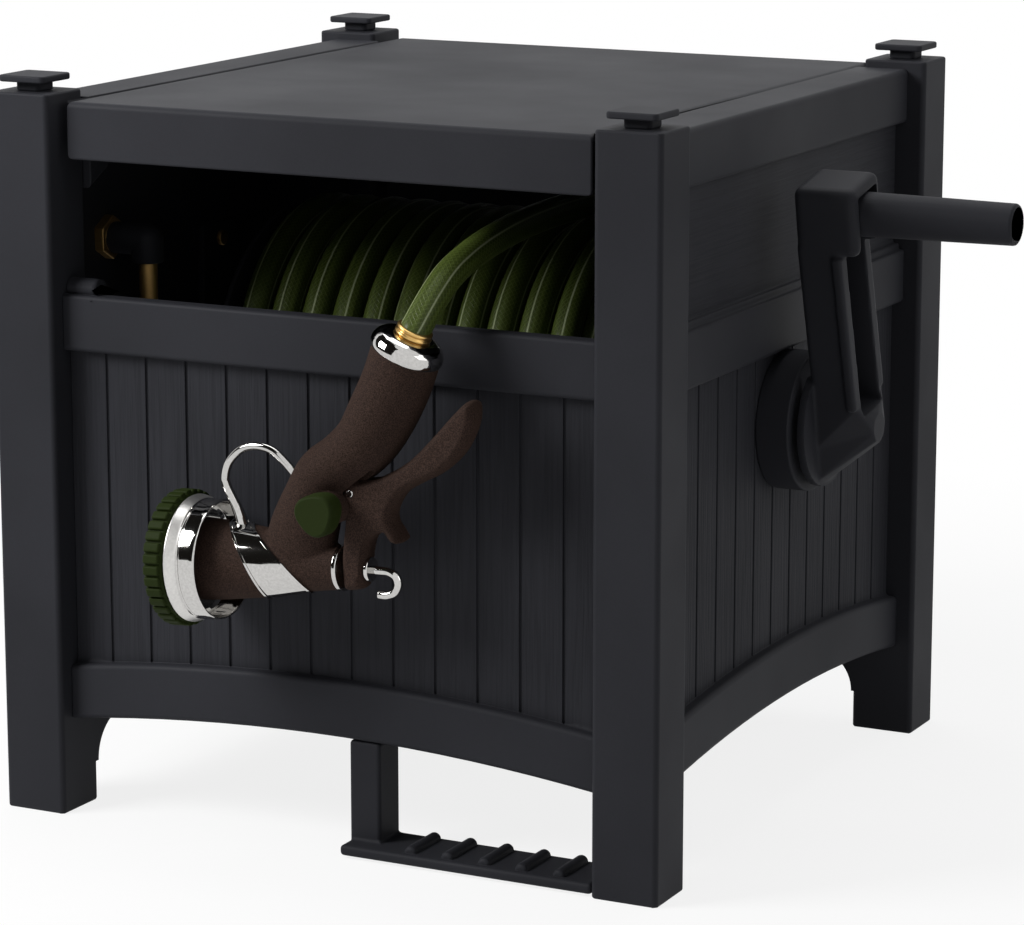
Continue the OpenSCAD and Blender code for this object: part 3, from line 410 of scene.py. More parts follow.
pressed_grain, grain_in, grain_out = node_group(
    "pressed_grain",
    [("Stretch", "NodeSocketVector", (1, 1, GRAIN_LENGTH))],
    [("Height", "NodeSocketFloat"), ("Shade", "NodeSocketFloat")])
grain_squeeze = add_node(pressed_grain, "ShaderNodeMapping")
pressed_grain.links.new(add_node(pressed_grain, "ShaderNodeTexCoord").outputs["Object"],
                        grain_squeeze.inputs["Vector"])
pressed_grain.links.new(grain_in.outputs["Stretch"], grain_squeeze.inputs["Scale"])
grain_lines = noise(pressed_grain, grain_squeeze.outputs["Vector"], GRAIN_SCALE, detail=4)
grain_lines.node.inputs["Distortion"].default_value = GRAIN_WANDER
grain_broad = noise(pressed_grain, grain_squeeze.outputs["Vector"], BROAD_SCALE, detail=2)
grain_furrow = ranged(pressed_grain, grain_lines, 0, 1, *FURROW_SPAN)
grain_swell = arith(pressed_grain, "MULTIPLY", grain_broad, BROAD_WEIGHT)
grain_height = arith(pressed_grain, "ADD", grain_furrow, grain_swell)
pressed_grain.links.new(grain_height, grain_out.inputs["Height"])
pressed_grain.links.new(ranged(pressed_grain, grain_furrow, *FURROW_SHADE, 0, 1), grain_out.inputs["Shade"])


def add_bump(tree, height, distance, strength):
    """A second relief on top of the one that a moulded material already has."""
    first = next(n for n in tree.nodes if n.type == "BUMP")
    second = add_node(tree, "ShaderNodeBump", Distance=distance, Strength=strength)
    tree.links.new(height, second.inputs["Height"])
    tree.links.new(first.outputs["Normal"], second.inputs["Normal"])
    tree.links.new(second.outputs["Normal"], tree.nodes["Principled BSDF"].inputs["Normal"])


def grained(name, stretch):
    """Charcoal with the wood grain pressed in along one way."""
    material = moulded(name, CHARCOAL, GRAIN_ROUGH, CHARCOAL_SHEEN)
    tree = material.node_tree
    shader = tree.nodes["Principled BSDF"]
    skin = next(n for n in tree.nodes if n.type == "GROUP")
    grain = add_node(tree, "ShaderNodeGroup", node_tree=pressed_grain)
    grain.inputs["Stretch"].default_value = stretch
    add_bump(tree, grain.outputs["Height"], GRAIN_HEIGHT, GRAIN_STRENGTH)
    tree.links.new(shaded(tree, skin.outputs["Colour"], grain.outputs["Shade"]), shader.inputs["Base Color"])
    return material


upright_grain = grained("charcoal_upright_grain", (1, 1, GRAIN_LENGTH))
level_grain = grained("charcoal_level_grain", (1, GRAIN_LENGTH, 1))


def wall(node, name, outward):
    """A wall with its planks and its plain upper panel told apart by how far they are set back."""
    low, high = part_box(node)
    outward = Vector(outward)
    face = max(low.dot(outward), high.dot(outward))
    upper_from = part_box("front_panel")[1].z - PLANK_BACK[1]
    along = outward.cross(Vector((0, 0, 1)))
    half = abs((high - low).dot(along)) / 2
    middle = (low + high).dot(along) / 2

    def wall_share(at):
        """Full rounding on the rails, less at the wall's two ends."""
        return WALL_END_SHARE if abs(at.dot(along) - middle) > half - WALL_EDGE * EDGE_REACH else 1

    piece = softened(node, name, WALL_EDGE, wall_share, WALL_STEPS)
    fitted(piece, node, "charcoal", charcoal, upright_grain, level_grain)
    for polygon in piece.data.polygons:
        back = face - polygon.center.dot(outward)
        if polygon.normal.dot(outward) > FACING and PLANK_BACK[0] < back < PLANK_BACK[1]:
            polygon.material_index = UPPER_PANEL if polygon.center.z > upper_from else PLANKS


wall("front_panel", "front_wall", (0, -1, 0))
wall("rear_panel", "rear_wall", (0, 1, 0))
wall("left_panel", "left_wall", (-1, 0, 0))
wall("right_panel", "right_wall", (1, 0, 0))

# Foot step: a ribbed bar under the front that the user stands on while winding, moulded
# in charcoal with a hooked arm behind the arched rail.
STEP_EDGE, STEP_ROUNDS = 0.003, 4
foot_bar = softened("foot_step", "foot_bar", STEP_EDGE, steps=STEP_ROUNDS)
fitted(foot_bar, "foot_step", "charcoal", charcoal)

# Lid: a shallow charcoal tray turned over, with a deep front and generous edges. It
# turns on two steel pins in the rear posts.
LID_EDGE, LID_ROUNDS = 0.0046, 5
LID_REACH = LID_EDGE * EDGE_REACH
LID_RIB_SHARE = 0.2
HINGE_ZONE = (0.030, 0.008)
HINGE_PIN_EDGE = 0.0006
METAL_SHEEN = 0.5
METAL_PATCH = 0.06
METAL_STIPPLE, METAL_HEIGHT = 500, 0.00001
STEEL = (0.55, 0.55, 0.56, 1)
STEEL_ROUGH = 0.3

lid_low, lid_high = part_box("lid")


def lid_share(middle):
    """Full rounding on the outer edges of the lid, little on the ribs inside, none round the hinge."""
    if middle.y > lid_high.y - HINGE_ZONE[0] and middle.z < lid_high.z - HINGE_ZONE[1]:
        return 0
    outer = (middle.y < lid_low.y + LID_REACH or middle.z > lid_high.z - LID_REACH
             or middle.x < lid_low.x + LID_REACH or middle.x > lid_high.x - LID_REACH)
    return 1 if outer else LID_RIB_SHARE


fitted(softened("lid", "hinged_lid", LID_EDGE, lid_share, LID_ROUNDS), "lid", "charcoal", charcoal)


def metal(name, colour, roughness, patch=METAL_PATCH, height=METAL_HEIGHT):
    """A bare metal with faint patches and a very fine grain."""
    material = moulded(name, colour, roughness, METAL_SHEEN, patch, METAL_STIPPLE, height)
    material.node_tree.nodes["Principled BSDF"].inputs["Metallic"].default_value = 1
    return material


steel = metal("steel", STEEL, STEEL_ROUGH)
fitted(softened("lid_hinge_pins", "hinge_pins", HINGE_PIN_EDGE), "lid_hinge_pins", "steel", steel)

# Reel and its water joint: a charcoal drum between two discs, turning in a round
# bearing on the right wall and on a brass swivel bracketed to the left wall.
# The brass inside the box is about half as bright as the nozzle's brass. That darkening is painted shade for
# the dark under the lid; its roughness and patches are its own.
BRASS_PAINTED_SHADE = (0.30, 0.19, 0.07, 1)
INNER_BRASS_ROUGH, INNER_BRASS_PATCH = 0.5, 0.25
SEAL = (0.012, 0.012, 0.012, 1)
SEAL_ROUGH, SEAL_SHEEN = 0.7, 0.3
REEL_EDGE, FITTING_EDGE, SEAL_EDGE = 0.0015, 0.00075, 0.0005

# Painted shade: the brass fittings inside the box get the darkened brass colour.
brass_painted_shade = metal("brass_painted_shade", BRASS_PAINTED_SHADE, INNER_BRASS_ROUGH, INNER_BRASS_PATCH)
seal_rubber = moulded("seal_rubber", SEAL, SEAL_ROUGH, SEAL_SHEEN)
for node, name in (("crank_bearing", "round_bearing"), ("swivel_bracket", "bracket_plate"),
                   ("inlet_elbow", "elbow"), ("reel_drum", "drum"), ("left_flange", "left_disc"),
                   ("right_flange", "right_disc")):
    fitted(softened(node, name, REEL_EDGE), node, "charcoal", charcoal)
for node, name in (("bracket_screws", "brass_screws"), ("swivel_body", "swivel_housing"),
                   ("inlet_fitting", "tap_thread"), ("inlet_nut", "hex_nut"), ("inlet_pipe", "brass_pipe"),
                   ("swivel_tube", "swivel_stub")):
    fitted(softened(node, name, FITTING_EDGE), node, "brass", brass_painted_shade)
fitted(softened("swivel_seal", "seal_ring", SEAL_EDGE), "swivel_seal", "seal", seal_rubber)

# Crank: a charcoal arm with a channel down its outer face and a bead along each cheek,
# moulded in one with a hub that runs out to a small nose over the end of the steel shaft.
# The hollow grip folds down into the channel on a pin pressed through the head.
MM = 0.001
CRANK_LEAN = 12
ARM_HALF, ARM_T, ARM_BACK, ARM_FOOT, ARM_TOP = 25.3, 36, 6, 18, 150
ARM_OUT, ARM_ROUND = 5, 5
HEAD_T, HEAD_FOOT, HEAD_TOP, HEAD_ROUND = 48, 140, 191, 6.5
CHANNEL_HALF, CHANNEL_FOOT, CHANNEL_TOP, SLOT_TOP = 17.5, 15, 183.3, 50
BEAD_W, BEAD_OUT, BEAD_FOOT, BEAD_TOP, BEAD_ROUND = 8, 4, 22, 141, 2.6
HUB_R, HUB_T, HUB_SIDES = 47.5, 6, 96
NOSE_R, NOSE_L, NOSE_SIDES = 11.5, 46, 8
FAIRING_TOP, FAIRING_FOOT, SHOULDER_TOP, SHOULDER_IN = 40, -13, 23, 2
SKIRT_R, SKIRT_FROM, SKIRT_TO, SKIRT_STEPS = 46, 236, 304, 24
CRANK_VOXEL, CRANK_SMOOTHING, CRANK_KEPT = 1.0, 3, 0.5
SMOOTH_PULL = 0.5
ROUND_ROOM = 0.45
GRIP_EDGE, GRIP_ROUNDS, CRANK_SCREW_EDGE = 0.0024, 4, 0.0008
SHAFT_R, SHAFT_END_R, SHAFT_STEP, SHAFT_EDGE, SHAFT_SIDES = 15, 9, 32, 1, 64


def placed(piece, matrix):
    """Moves a mesh to its place and leaves its object at the origin."""
    piece.data.transform(matrix)
    piece.data.update()
    return piece


def joined(name, pieces):
    """Several meshes made one object."""
    choose(pieces[0])
    for piece in pieces:
        piece.select_set(True)
    bpy.ops.object.join()
    pieces[0].name = name
    return pieces[0]


def cut_away(piece, cutter):
    """Takes a cutter's shape out of a piece, and the cutter with it."""
    apply_modifier(piece, "BOOLEAN", operation="DIFFERENCE", solver="EXACT", object=cutter)
    bpy.data.objects.remove(cutter)


def bar(radius, start, end, sides=48):
    """A round bar between two points in mm, to join or to cut with."""
    start, end = Vector(start) * MM, Vector(end) * MM
    bpy.ops.object.select_all(action="DESELECT")
    bpy.ops.mesh.primitive_cylinder_add(radius=radius * MM, depth=(end - start).length, vertices=sides)
    turn = (end - start).to_track_quat("Z", "Y").to_matrix().to_4x4()
    return placed(bpy.context.object, Matrix.Translation((start + end) / 2) @ turn)


def block(low, high, soft=0, steps=4):
    """A box between two corners in mm, with its edges rounded by soft, to join or to cut with."""
    low, high = Vector(low) * MM, Vector(high) * MM
    bpy.ops.object.select_all(action="DESELECT")
    bpy.ops.mesh.primitive_cube_add(size=1)
    spread = Matrix.Diagonal((*(high - low), 1))
    piece = placed(bpy.context.object, Matrix.Translation((low + high) / 2) @ spread)
    if soft:
        apply_modifier(piece, "BEVEL", width=soft * MM, segments=steps)
    return piece


def melted(piece, voxel, smoothing):
    """Makes overlapping shapes one skin, with voxels of a size in mm, and softens its seams."""
    apply_modifier(piece, "REMESH", mode="VOXEL", voxel_size=voxel * MM)
    if smoothing:
        apply_modifier(piece, "SMOOTH", factor=SMOOTH_PULL, iterations=smoothing)


def circle_points(x, radius, first, last, steps):
    """Points in mm on part of a circle round the X axis, by angles from +Y to +Z in degrees."""
    turns = [math.radians(first + (last - first) * k / steps) for k in range(steps + 1)]
    return [(x, radius * math.cos(a), radius * math.sin(a)) for a in turns]


def hull(name, points):
    """The tightest closed skin round a set of points in mm."""
    mesh = bpy.data.meshes.new(name)
    mesh.from_pydata([Vector(point) * MM for point in points], [], [])
    piece = bpy.data.objects.new(name, mesh)
    scene.collection.objects.link(piece)
    choose(piece)
    bpy.ops.object.mode_set(mode="EDIT")
    bpy.ops.mesh.select_all(action="SELECT")
    bpy.ops.mesh.convex_hull()
    bpy.ops.object.mode_set(mode="OBJECT")
    return piece


def rounded(points, radius, steps=5):
    """A profile in mm with its inner corners rounded off."""
    line = [points[0]]
    for before, corner, after in zip(points, points[1:], points[2:]):
        corner = Vector(corner)
        arms = [Vector(before) - corner, Vector(after) - corner]
        cut = [corner + arm.normalized() * min(radius, arm.length * ROUND_ROOM) for arm in arms]
        for step in range(steps + 1):
            t = step / steps
            line.append(tuple(cut[0] * (1 - t) ** 2 + corner * 2 * t * (1 - t) + cut[1] * t * t))
    return line + [points[-1]]


def turned(name, profile, steps=96):
    """A piece turned about its own X axis from a profile of (along, radius) points in mm."""
    mesh = bpy.data.meshes.new(name)
    mesh.from_pydata([Vector((along, 0, radius)) * MM for along, radius in profile],
                     [(i, i + 1) for i in range(len(profile) - 1)], [])
    piece = bpy.data.objects.new(name, mesh)
    scene.collection.objects.link(piece)
    choose(piece)
    bpy.ops.object.mode_set(mode="EDIT")
    bpy.ops.mesh.select_all(action="SELECT")
    bpy.ops.mesh.spin(steps=steps, angle=2 * math.pi, center=(0, 0, 0), axis=(1, 0, 0))
    bpy.ops.mesh.select_all(action="SELECT")
    bpy.ops.mesh.remove_doubles(threshold=MERGE)
    bpy.ops.mesh.normals_make_consistent(inside=False)
    bpy.ops.object.mode_set(mode="OBJECT")
    smooth_shaded(piece)
    return piece


def arm_block(low, high, soft=0):
    """A block that leans out with the arm: its foot stands further from the wall than its top."""
    lean = Matrix.Identity(4)
    lean[0][2] = -ARM_OUT / HEAD_FOOT
    lean[0][3] = ARM_OUT * MM
    return placed(block(low, high, soft), lean)


nose_points = circle_points(NOSE_L, NOSE_R, 0, 360, NOSE_SIDES)
shoulder_points = [(HUB_T / 2, side * ARM_HALF, up) for side in (-1, 1) for up in (FAIRING_FOOT, FAIRING_TOP)]
shoulder_points += [(ARM_T + ARM_OUT - SHOULDER_IN, side * ARM_HALF, SHOULDER_TOP) for side in (-1, 1)]
skirt_points = circle_points(HUB_T / 2, SKIRT_R, SKIRT_FROM, SKIRT_TO, SKIRT_STEPS)
skirt_points += [(HUB_T / 2, side * ARM_HALF, FAIRING_FOOT) for side in (-1, 1)]
cheeks = [arm_block((ARM_T - BEAD_W, min(0, edge), BEAD_FOOT), (ARM_T, max(0, edge), BEAD_TOP), BEAD_ROUND)
          for edge in (-ARM_HALF - BEAD_OUT, ARM_HALF + BEAD_OUT)]
cranked_arm = joined("cranked_arm", cheeks + [
    bar(HUB_R, (0, 0, 0), (HUB_T, 0, 0), HUB_SIDES),
    hull("shoulder", shoulder_points + nose_points),
    hull("skirt", skirt_points + nose_points),
    arm_block((0, -ARM_HALF, ARM_FOOT), (ARM_T, ARM_HALF, ARM_TOP), ARM_ROUND),
    block((0, -ARM_HALF, HEAD_FOOT), (HEAD_T, ARM_HALF, HEAD_TOP), HEAD_ROUND)])
melted(cranked_arm, CRANK_VOXEL, 0)
cut_away(cranked_arm, block((ARM_BACK, -CHANNEL_HALF, CHANNEL_FOOT), (HEAD_T * 2, CHANNEL_HALF, CHANNEL_TOP)))
cut_away(cranked_arm, block((-ARM_BACK, -CHANNEL_HALF, CHANNEL_FOOT), (HEAD_T, CHANNEL_HALF, SLOT_TOP)))
melted(cranked_arm, CRANK_VOXEL, CRANK_SMOOTHING)
apply_modifier(cranked_arm, "DECIMATE", ratio=CRANK_KEPT)
smooth_shaded(cranked_arm)
drum_low, drum_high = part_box("reel_drum")
axis_z = (drum_low.z + drum_high.z) / 2
crank_lean = Matrix.Rotation(math.radians(CRANK_LEAN), 4, "X")
placed(cranked_arm, Matrix.Translation((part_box("crank_arm")[0].x, 0, axis_z)) @ crank_lean)
fitted(cranked_arm, "crank_arm", "charcoal", charcoal)
tube_grip = softened("crank_grip", "tube_grip", GRIP_EDGE, steps=GRIP_ROUNDS)
fitted(tube_grip, "crank_grip", "charcoal", charcoal)
fitted(softened("grip_pin", "pivot_pin", FITTING_EDGE), "grip_pin", "steel", steel)
fitted(softened("crank_screw", "capped_screw", CRANK_SCREW_EDGE), "crank_screw", "charcoal", charcoal)
shaft_low, shaft_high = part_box("drive_shaft")
shaft_l = (shaft_high.x - shaft_low.x) / MM
shaft_profile = [(0, 0), (0, SHAFT_R), (shaft_l - SHAFT_STEP, SHAFT_R), (shaft_l - SHAFT_STEP, SHAFT_END_R),
                 (shaft_l, SHAFT_END_R), (shaft_l, 0)]
steel_shaft = turned("steel_shaft", rounded(shaft_profile, SHAFT_EDGE), SHAFT_SIDES)
placed(steel_shaft, Matrix.Translation((shaft_low.x, 0, axis_z)))
fitted(steel_shaft, "drive_shaft", "steel", steel)

# Wound hose: the outer layer of a clear green garden hose over an inner layer that shows
# between its turns. Both are wound on the drum and turn with it.
HOSE_R = 0.011
HOSE_SIDES = 20
WIND_R = 0.132
WIND_PITCH = 0.026
WIND_TURNS = 10.5
WIND_STEP = 6
INNER_R = 0.1155
INNER_TURNS = 11
HOSE_GREEN = (0.057, 0.080, 0.015, 1)
HOSE_DEEP = (0.028, 0.040, 0.007, 1)
# The pale colour below is a painted highlight, for the thin bright lines along the turns.
HOSE_PAINTED_HIGHLIGHT = (0.33, 0.37, 0.22, 1)
HOSE_YARN = (0.125, 0.165, 0.043, 1)
HOSE_ROUGH, HOSE_SHEEN, HOSE_PATCH, HOSE_HEIGHT = 0.36, 0.12, 0.2, 0.00003
HOSE_COAT, COAT_ROUGH = 0.06, 0.3
YARN_ALONG, YARN_ROUND, YARN_W, YARN_SHOW = 250, 17, 0.45, 0.34
YARN_HEIGHT, YARN_STRENGTH = 0.0003, 0.6
# Painted highlights: four thin pale lines round the hose stand for the highlights along its turns.
HIGHLIGHT_LINES, HIGHLIGHT_TURN, HIGHLIGHT_SHOW = 4, 0.3, 0.75
HIGHLIGHT_SPAN = (0.05, 0.17)
STREAK_ALONG, STREAK_ROUND = 9, 26

wind_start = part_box("hose_winding")[0].x + HOSE_R


def tube(name, path, radii, sides):
    """A round skin swept along a path, with a UV map in metres along it and turns round it."""
    mesh = bpy.data.meshes.new(name)
    skin = bmesh.new()
    uv = skin.loops.layers.uv.new("UVMap")
    along = [0.0]
    for before, after in zip(path, path[1:]):
        along.append(along[-1] + (after - before).length)
    heading = (path[1] - path[0]).normalized()
    across = heading.orthogonal().normalized()
    rings = []
    for i, point in enumerate(path):
        ahead = (path[min(i + 1, len(path) - 1)] - path[max(i - 1, 0)]).normalized()
        across = heading.rotation_difference(ahead) @ across
        across = (across - ahead * across.dot(ahead)).normalized()
        up = ahead.cross(across)
        heading = ahead
        turns = [2 * math.pi * k / sides for k in range(sides)]
        spokes = [(across * math.cos(a) + up * math.sin(a)) * radii[i] for a in turns]
        rings.append([skin.verts.new(point + spoke) for spoke in spokes])
    for i, (ring, later) in enumerate(zip(rings, rings[1:])):
        for k in range(sides):
            face = skin.faces.new((ring[k], ring[(k + 1) % sides], later[(k + 1) % sides], later[k]))
            face.smooth = True
            corners = ((i, k), (i, k + 1), (i + 1, k + 1), (i + 1, k))
            for loop, (step, side) in zip(face.loops, corners):
                loop[uv].uv = (along[step], side / sides)
    skin.faces.new(reversed(rings[0]))
    skin.faces.new(rings[-1])
    skin.to_mesh(mesh)
    skin.free()
    piece = bpy.data.objects.new(name, mesh)
    scene.collection.objects.link(piece)
    return piece


def wave(tree, turns):
    """How far a count of turns is from a whole one: 0 at it and 1 halfway."""
    return arith(tree, "ABSOLUTE", arith(tree, "SINE", arith(tree, "MULTIPLY", turns, math.pi), 0), 0)


def clear_hose():
    """Clear green vinyl over a knitted yarn, with thin pale lines along it that are painted highlights. The
    UV map runs along the hose.
    """
    material = moulded("clear_hose", HOSE_GREEN, HOSE_ROUGH, HOSE_SHEEN, HOSE_PATCH, height=HOSE_HEIGHT)
    tree = material.node_tree
    shader = tree.nodes["Principled BSDF"]
    place = add_node(tree, "ShaderNodeSeparateXYZ")
    tree.links.new(add_node(tree, "ShaderNodeTexCoord").outputs["UV"], place.inputs[0])
    along, round_it = place.outputs["X"], place.outputs["Y"]
    along_turns = arith(tree, "MULTIPLY", along, YARN_ALONG)
    threads = []
    for way in (1, -1):
        lean = arith(tree, "ADD", along_turns, arith(tree, "MULTIPLY", round_it, YARN_ROUND * way))
        threads.append(ranged(tree, wave(tree, lean), 1, 0, 0, YARN_W))
    yarn = arith(tree, "MAXIMUM", *threads)
    # Painted highlight: thin pale lines along the hose, mixed into its colour.
    highlight_turn = arith(tree, "ADD", arith(tree, "MULTIPLY", round_it, HIGHLIGHT_LINES), HIGHLIGHT_TURN)
    painted_highlight = ranged(tree, wave(tree, highlight_turn), 1, 0, *HIGHLIGHT_SPAN)
    streak_place = add_node(tree, "ShaderNodeCombineXYZ")
    tree.links.new(arith(tree, "MULTIPLY", along, STREAK_ALONG), streak_place.inputs["X"])
    tree.links.new(arith(tree, "MULTIPLY", round_it, STREAK_ROUND), streak_place.inputs["Y"])
    streak = noise(tree, streak_place.outputs[0], 1)
    ground = mixed(tree, ranged(tree, streak, 0, 1), HOSE_DEEP, HOSE_GREEN)
    knitted = mixed(tree, arith(tree, "MULTIPLY", yarn, YARN_SHOW), ground, HOSE_YARN)
    highlighted = mixed(tree, arith(tree, "MULTIPLY", painted_highlight, HIGHLIGHT_SHOW), knitted, HOSE_PAINTED_HIGHLIGHT)
    tree.links.new(highlighted, shader.inputs["Base Color"])
    add_bump(tree, yarn, YARN_HEIGHT, YARN_STRENGTH)
    shader.inputs["Coat Weight"].default_value = HOSE_COAT
    shader.inputs["Coat Roughness"].default_value = COAT_ROUGH
    return material


def coil_path(start, radius, turns):
    """The middle line of a hose wound round the reel's axis."""
    count = round(turns * 360 / WIND_STEP)
    line = []
    for k in range(count + 1):
        angle = math.radians(WIND_STEP * k)
        x = start + WIND_PITCH * angle / (2 * math.pi)
        line.append(Vector((x, radius * math.cos(angle), axis_z + radius * math.sin(angle))))
    return line


hose_skin = clear_hose()
for node, name, start, radius, turns in (
        ("hose_winding", "outer_turns", wind_start, WIND_R, WIND_TURNS),
        ("hose_core", "inner_turns", wind_start + WIND_PITCH / 2, INNER_R, INNER_TURNS)):
    coil = coil_path(start, radius, turns)
    fitted(tube(name, coil, [HOSE_R] * len(coil), HOSE_SIDES), node, "hose", hose_skin)

# Free hose: the end of the same hose, from its lane beside the last turn up over the
# outer layer and out over the front rail, down to the coupling in the nozzle.
LANE_X, LANE_R = 0.150, 0.134
LEAD_R = 0.15489
LEAVE_X = 0.098
WRAP_FROM, WRAP_TO, WRAP_STEP = -100, 90, 10
CLIMB = (-60, -5)
CROSS = (-35, 90)
FREE_START = Vector((0.098, 0, 0.157))
FREE_POINTS = [(0.098, -0.040, 0.157), (0.098, -0.080, 0.157), (0.099, -0.120, 0.156), (0.101, -0.160, 0.154),
               (0.103, -0.200, 0.150), (0.103, -0.230, 0.144), (0.102, -0.256, 0.135), (0.101, -0.279, 0.121),
               (0.098, -0.299, 0.102)]
PATH_FINENESS = 6
HOSE_END_TURNS = (15, 30, 45, 60, 75, 85)
HOSE_END_RUN = 4

box_x = (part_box("post_front_left")[0].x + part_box("post_front_right")[1].x) / 2
NOZZLE_TILT = 2.8
NOZZLE_AT = (box_x, -0.299, 0.224)
HANDLE_END = Vector((0.0985, 0, 0.155))
HANDLE_BEND = Vector((0.074, 0, 0.107))
COLLAR_L = 0.017
nozzle_place = Matrix.Translation(NOZZLE_AT) @ Matrix.Rotation(math.radians(-NOZZLE_TILT), 4, "Y")
handle_way = (HANDLE_END - HANDLE_BEND).normalized()
collar_mouth = nozzle_place @ (HANDLE_END + handle_way * COLLAR_L)


def ease(angle, span):
    """A smooth step from 0 to 1 between two angles."""
    t = min(1, max(0, (angle - span[0]) / (span[1] - span[0])))
    return t * t * (3 - 2 * t)


def wrap_at(angle):
    """A place on the stretch that lies round the reel."""
    radius = LANE_R + (LEAD_R - LANE_R) * ease(angle, CLIMB)
    x = LANE_X + (LEAVE_X - LANE_X) * ease(angle, CROSS)
    a = math.radians(angle)
    return Vector((box_x + x, radius * math.cos(a), axis_z + radius * math.sin(a)))


def smooth_path(points, fineness, closed=False):
    """A smooth line through points of any size, with fineness steps between each two."""
    count = len(points)
    line = []
    for i in range(count if closed else count - 1):
        places = [j % count if closed else min(max(j, 0), count - 1) for j in range(i - 1, i + 3)]
        knots = [points[j] for j in places]
        for step in range(fineness):
            t = step / fineness
            line.append(tuple(
                (2 * b + (c - a) * t + (2 * a - 5 * b + 4 * c - d) * t * t
                 + (3 * b - a - 3 * c + d) * t ** 3) / 2
                for a, b, c, d in zip(*knots)))
    return line if closed else line + [tuple(points[-1])]


def lead_path():
    """The wrapped stretch, then the free one moved to start and end where its neighbours are."""
    wrapped = [wrap_at(angle) for angle in range(WRAP_FROM, WRAP_TO + 1, WRAP_STEP)]
    start_move = wrapped[-1] - FREE_START
    end_move = collar_mouth - Vector(FREE_POINTS[-1])
    share = [(i + 1) / len(FREE_POINTS) for i in range(len(FREE_POINTS))]
    free = [Vector(p) + start_move * (1 - t) + end_move * t for p, t in zip(FREE_POINTS, share)]
    return [Vector(p) for p in smooth_path([tuple(p) for p in wrapped + free], PATH_FINENESS)]


lead_line = lead_path()
hose_way = (lead_line[-1] - lead_line[-HOSE_END_RUN]).normalized()
round_end = [lead_line[-1] + hose_way * HOSE_R * math.sin(math.radians(turn)) for turn in HOSE_END_TURNS]
end_radii = [HOSE_R * math.cos(math.radians(turn)) for turn in HOSE_END_TURNS]
free_hose = tube("free_hose", lead_line + round_end, [HOSE_R] * len(lead_line) + end_radii, HOSE_SIDES)
fitted(free_hose, "hose_lead", "hose", hose_skin)

# Nozzle body: a soft brown grip moulded over the barrel and the handle, one skin with a
# shoulder at the knee and a boss for the knob. The trigger's cheeks run in two slots
# beside a tongue, and the valve's stem comes out of the barrel's tail.
RUBBER = (0.0298, 0.0176, 0.0134, 1)
RUBBER_ROUGH, RUBBER_SHEEN, RUBBER_PATCH = 0.75, 0.08, 0.1
RUBBER_STIPPLE, RUBBER_HEIGHT = 1900, 0.00018
SAND_SCALE = 1300
SAND_TONE = (0.5, 1.5)
SAND_SPAN = (0.36, 0.66)
BODY_VOXEL, BODY_SMOOTHING = 1.1, 8
BODY_SIDES = 40
LOFT_FINENESS = 4
HANDLE_STATIONS = [(100.5, 159, 24.8, 24.6), (90.5, 134, 24.9, 24.6), (76, 108.5, 24.4, 24.4),
                   (63.5, 91, 22.6, 24), (46, 76.5, 21.4, 23.6), (31, 65.5, 22, 23.4), (20.5, 50, 21.8, 22.8),
                   (12, 30, 25, 21.5), (6, 12, 26, 19), (2, 0, 20, 15)]
BARREL_STATIONS = [(-75, 30), (-60, 29), (-50, 28.1), (-18, 24.4), (15, 18.6), (41.5, 15.6)]
KNOB_AT = Vector((43, 0, 46))
KNOB_BOSS_R, KNOB_BOSS_L = 11.5, 27.5
TRIGGER_PIN = Vector((55, 0, 56))
TONGUE_HALF = 6
TRIGGER_HALF = 12
SLOT_GAP = 0.3
POCKET_R, POCKET_BACK, POCKET_W, POCKET_FOOT, POCKET_SIDES = 24.5, 9.5, 49, -40, 64
STEM_R, STEM_IN, BARREL_TAIL = 5.05, 3, 60


def lofted(name, rings):
    """A closed skin drawn through a row of rings with the same number of points, in mm."""
    bpy.ops.object.select_all(action="DESELECT")
    bpy.ops.mesh.primitive_circle_add(vertices=len(rings[0]), fill_type="NGON")
    piece = bpy.context.object
    piece.name = name
    bpy.ops.object.mode_set(mode="EDIT")
    for i, ring in enumerate(rings):
        if i:
            bpy.ops.mesh.extrude_region_move()
        edit = bmesh.from_edit_mesh(piece.data)
        cap = next(face for face in edit.faces if face.select)
        for loop, point in zip(cap.loops, ring):
            loop.vert.co = Vector(point) * MM
        bmesh.update_edit_mesh(piece.data)
    bpy.ops.mesh.select_all(action="SELECT")
    bpy.ops.mesh.normals_make_consistent(inside=False)
    bpy.ops.object.mode_set(mode="OBJECT")
    return piece


def station_rings(stations):
    """Oval rings across a bent middle line, from stations of (along x, up z, half width, half depth)."""
    line = smooth_path(stations, LOFT_FINENESS)
    rings = []
    for i, (x, z, wide, deep) in enumerate(line):
        before, after = line[max(i - 1, 0)], line[min(i + 1, len(line) - 1)]
        ahead = Vector((after[0] - before[0], 0, after[1] - before[1])).normalized()
        across = Vector((ahead.z, 0, -ahead.x))
        turns = [2 * math.pi * k / BODY_SIDES for k in range(BODY_SIDES)]
        rings.append([Vector((x, 0, z)) + across * wide * math.cos(a) + Vector((0, deep * math.sin(a), 0))
                      for a in turns])
    return rings


